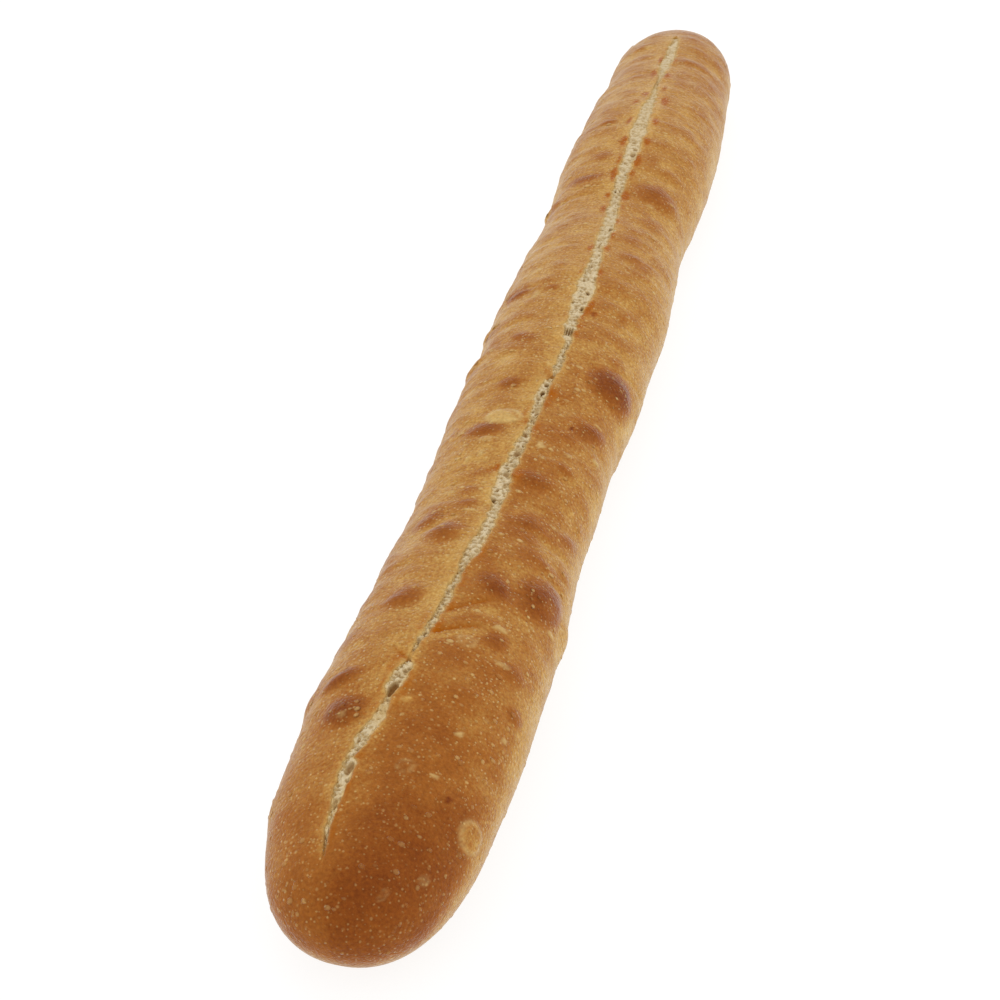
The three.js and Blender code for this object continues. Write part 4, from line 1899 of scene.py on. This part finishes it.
@dataclass(frozen=True)
class CrumbFinish:
    """Soft cream crumb, coloured darker and browner down in its pores as painted shade.

    Attributes:
        grain: the shared grain.
        grain_size: size of its grains, in metres.
        grain_mottle: how much it lightens and darkens.
        grain_rise: its height.
        lift: how strongly that height shows.
        stops: colour by the painted shade of the pores, darker and browner deeper in a pore.
        golden: colour of its baked edges and of smooth dough.
        roughness: how dull it is.
        gloss: how strongly it reflects.
    """

    grain: bpy.types.NodeTree
    grain_size: float = 0.0006
    grain_mottle: float = 0.5
    grain_rise: float = 0.22
    lift: float = 0.8
    stops: Stops = ((0.0, shade(208, 189, 153)), (0.3, shade(192, 166, 120)), (1.0, shade(134, 92, 40)))
    golden: Colour = shade(200, 166, 102)
    roughness: float = 0.6
    gloss: float = 0.2

    def build(self) -> bpy.types.Material:
        """Make the finish.

        Returns:
            The material.
        """
        material, bench = new_material("Crumb")
        # painted shade: the colour darkens and browns with the pore shade mark
        colour = bench.ramp(bench.mark(Mark.PORE_SHADE), self.stops)
        colour = bench.blend(bench.mark(Mark.BAKE), colour, self.golden)
        grain = bench.add("ShaderNodeGroup", node_tree=self.grain)
        bench.feed(grain, Colour=colour, Size=self.grain_size, Mottle=self.grain_mottle)
        height = bench.maths("MULTIPLY", grain.outputs["Height"], self.grain_rise)
        bench.surface(
            Base_Color=grain.outputs["Colour"],
            Roughness=self.roughness,
            Normal=bench.bump(height, MM, self.lift),
            Specular_IOR_Level=self.gloss,
        )
        return material


@dataclass(frozen=True)
class FloorFinish:
    """A matt off-white sheet with a faint tooth, which glows a little so that it stays pale.

    Attributes:
        colour: its colour.
        glow: how strongly it glows.
        roughness: how dull it is.
        tooth: how many bumps a metre holds, and their finer layers.
        tooth_rise: their height, in metres.
        tooth_strength: how strongly they show.
    """

    colour: Colour = shade(120, 120, 120)
    glow: float = 0.84
    roughness: float = 0.9
    tooth: tuple[float, float] = (900.0, 2.0)
    tooth_rise: float = 0.00005
    tooth_strength: float = 0.3

    def build(self) -> bpy.types.Material:
        """Make the finish.

        Returns:
            The material.
        """
        material, bench = new_material("Floor")
        tooth = bench.noise(bench.place(), *self.tooth, roughness=0.5)
        bench.surface(
            Base_Color=self.colour,
            Roughness=self.roughness,
            Normal=bench.bump(tooth, self.tooth_rise, self.tooth_strength),
            Emission_Color=WHITE,
            Emission_Strength=self.glow,
        )
        return material


@dataclass(frozen=True)
class Studio:
    """A plain pale floor under soft light, and the camera.

    Attributes:
        azimuth: how far the camera is turned from looking along +Y, in degrees.
        elevation: how far it looks down, in degrees.
        distance: from the camera to what it looks at.
        target: what it looks at.
        lens: focal length.
        sensor: width of its sensor.
        clip: nearest and furthest that it sees, in metres.
        floor: side of the floor.
        floor_gap: how far the floor lies below the loaf.
        surround: strength of the light all round.
        lamps: name, place, width and power of each lamp.
    """

    azimuth: float = 13.7
    elevation: float = 38.0
    distance: float = 678.5
    target: tuple[float, float, float] = (-2.5, -95.5, 25.0)
    lens: float = 70.0
    sensor: float = 36.0
    clip: tuple[float, float] = (0.01, 30.0)
    floor: float = 9000.0
    floor_gap: float = 0.05
    surround: float = 1.0
    lamps: tuple[tuple[str, tuple[float, float, float], float, float], ...] = (
        ("lamp_above", (-250, 350, 1300), 1100, 1.5),
        ("lamp_right", (1300, -150, 180), 900, 2.7),
        ("lamp_left", (-1300, -150, 300), 900, 1.6),
    )

    def camera(self) -> None:
        """Stand the camera where it sees the loaf from its near end."""
        turn, tilt = math.radians(self.azimuth), math.radians(self.elevation)
        back = Vector((math.sin(turn) * math.cos(tilt), -math.cos(turn) * math.cos(tilt), math.sin(tilt)))
        data = bpy.data.cameras.new("camera")
        data.lens, data.sensor_width = self.lens, self.sensor
        data.clip_start, data.clip_end = self.clip
        camera = bpy.data.objects.new("camera", data)
        camera.location = (Vector(self.target) + back * self.distance) * MM
        camera.rotation_euler = (-back).to_track_quat("-Z", "Y").to_euler()
        bpy.context.scene.collection.objects.link(camera)
        bpy.context.scene.camera = camera

    def light(self) -> None:
        """Surround the loaf with soft white light, and hang a broad lamp above it and at each side."""
        world = bpy.data.worlds.new("surround")
        bpy.context.scene.world = world
        world.use_nodes = True
        background = world.node_tree.nodes["Background"]
        background.inputs["Color"].default_value = WHITE
        background.inputs["Strength"].default_value = self.surround
        for name, place, width, power in self.lamps:
            data = bpy.data.lights.new(name, "AREA")
            data.shape, data.size, data.energy = "DISK", width * MM, power
            lamp = bpy.data.objects.new(name, data)
            lamp.location = Vector(place) * MM
            lamp.rotation_euler = (-lamp.location).to_track_quat("-Z", "Y").to_euler()
            bpy.context.scene.collection.objects.link(lamp)

    def ground(self) -> None:
        """Lay the floor."""
        alone()
        bpy.ops.mesh.primitive_plane_add(size=self.floor * MM, location=(0, 0, -self.floor_gap * MM))
        floor = bpy.context.active_object
        floor.name = "floor"
        floor.data.materials.append(FloorFinish().build())

    def build(self) -> None:
        """Set up the camera, the light and the floor."""
        self.camera()
        self.light()
        self.ground()
        bpy.context.scene.view_settings.view_transform = "Standard"


@dataclass
class Baguette:
    """The whole loaf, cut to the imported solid's length.

    Attributes:
        pieces: its finished pieces.
    """

    pieces: list[bpy.types.Object] = field(default_factory=list)

    def build(self) -> None:
        """Make the crust, the crumb and the blisters, and dress them."""
        low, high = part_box(NODE)
        skin = Skin(LoafForm(length=(high.y - low.y) / MM), Score())
        grain = Grain().build()
        crust_finish, crumb_finish = CrustFinish(grain).build(), CrumbFinish(grain).build()
        for maker, finish in (
            (Crust(skin), crust_finish),
            (Crumb(skin), crumb_finish),
            (Blisters(skin), crust_finish),
        ):
            piece = maker.build()
            dress(piece, finish)
            self.pieces.append(piece)
            LOG.info("%s: %d faces", piece.name, len(piece.data.polygons))
        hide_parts(NODE)


def main() -> None:
    """Load the frame, set up the studio and make the loaf."""
    logging.basicConfig(level=logging.INFO, format="%(message)s")
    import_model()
    Studio().build()
    Baguette().build()


if __name__ == "__main__":
    main()
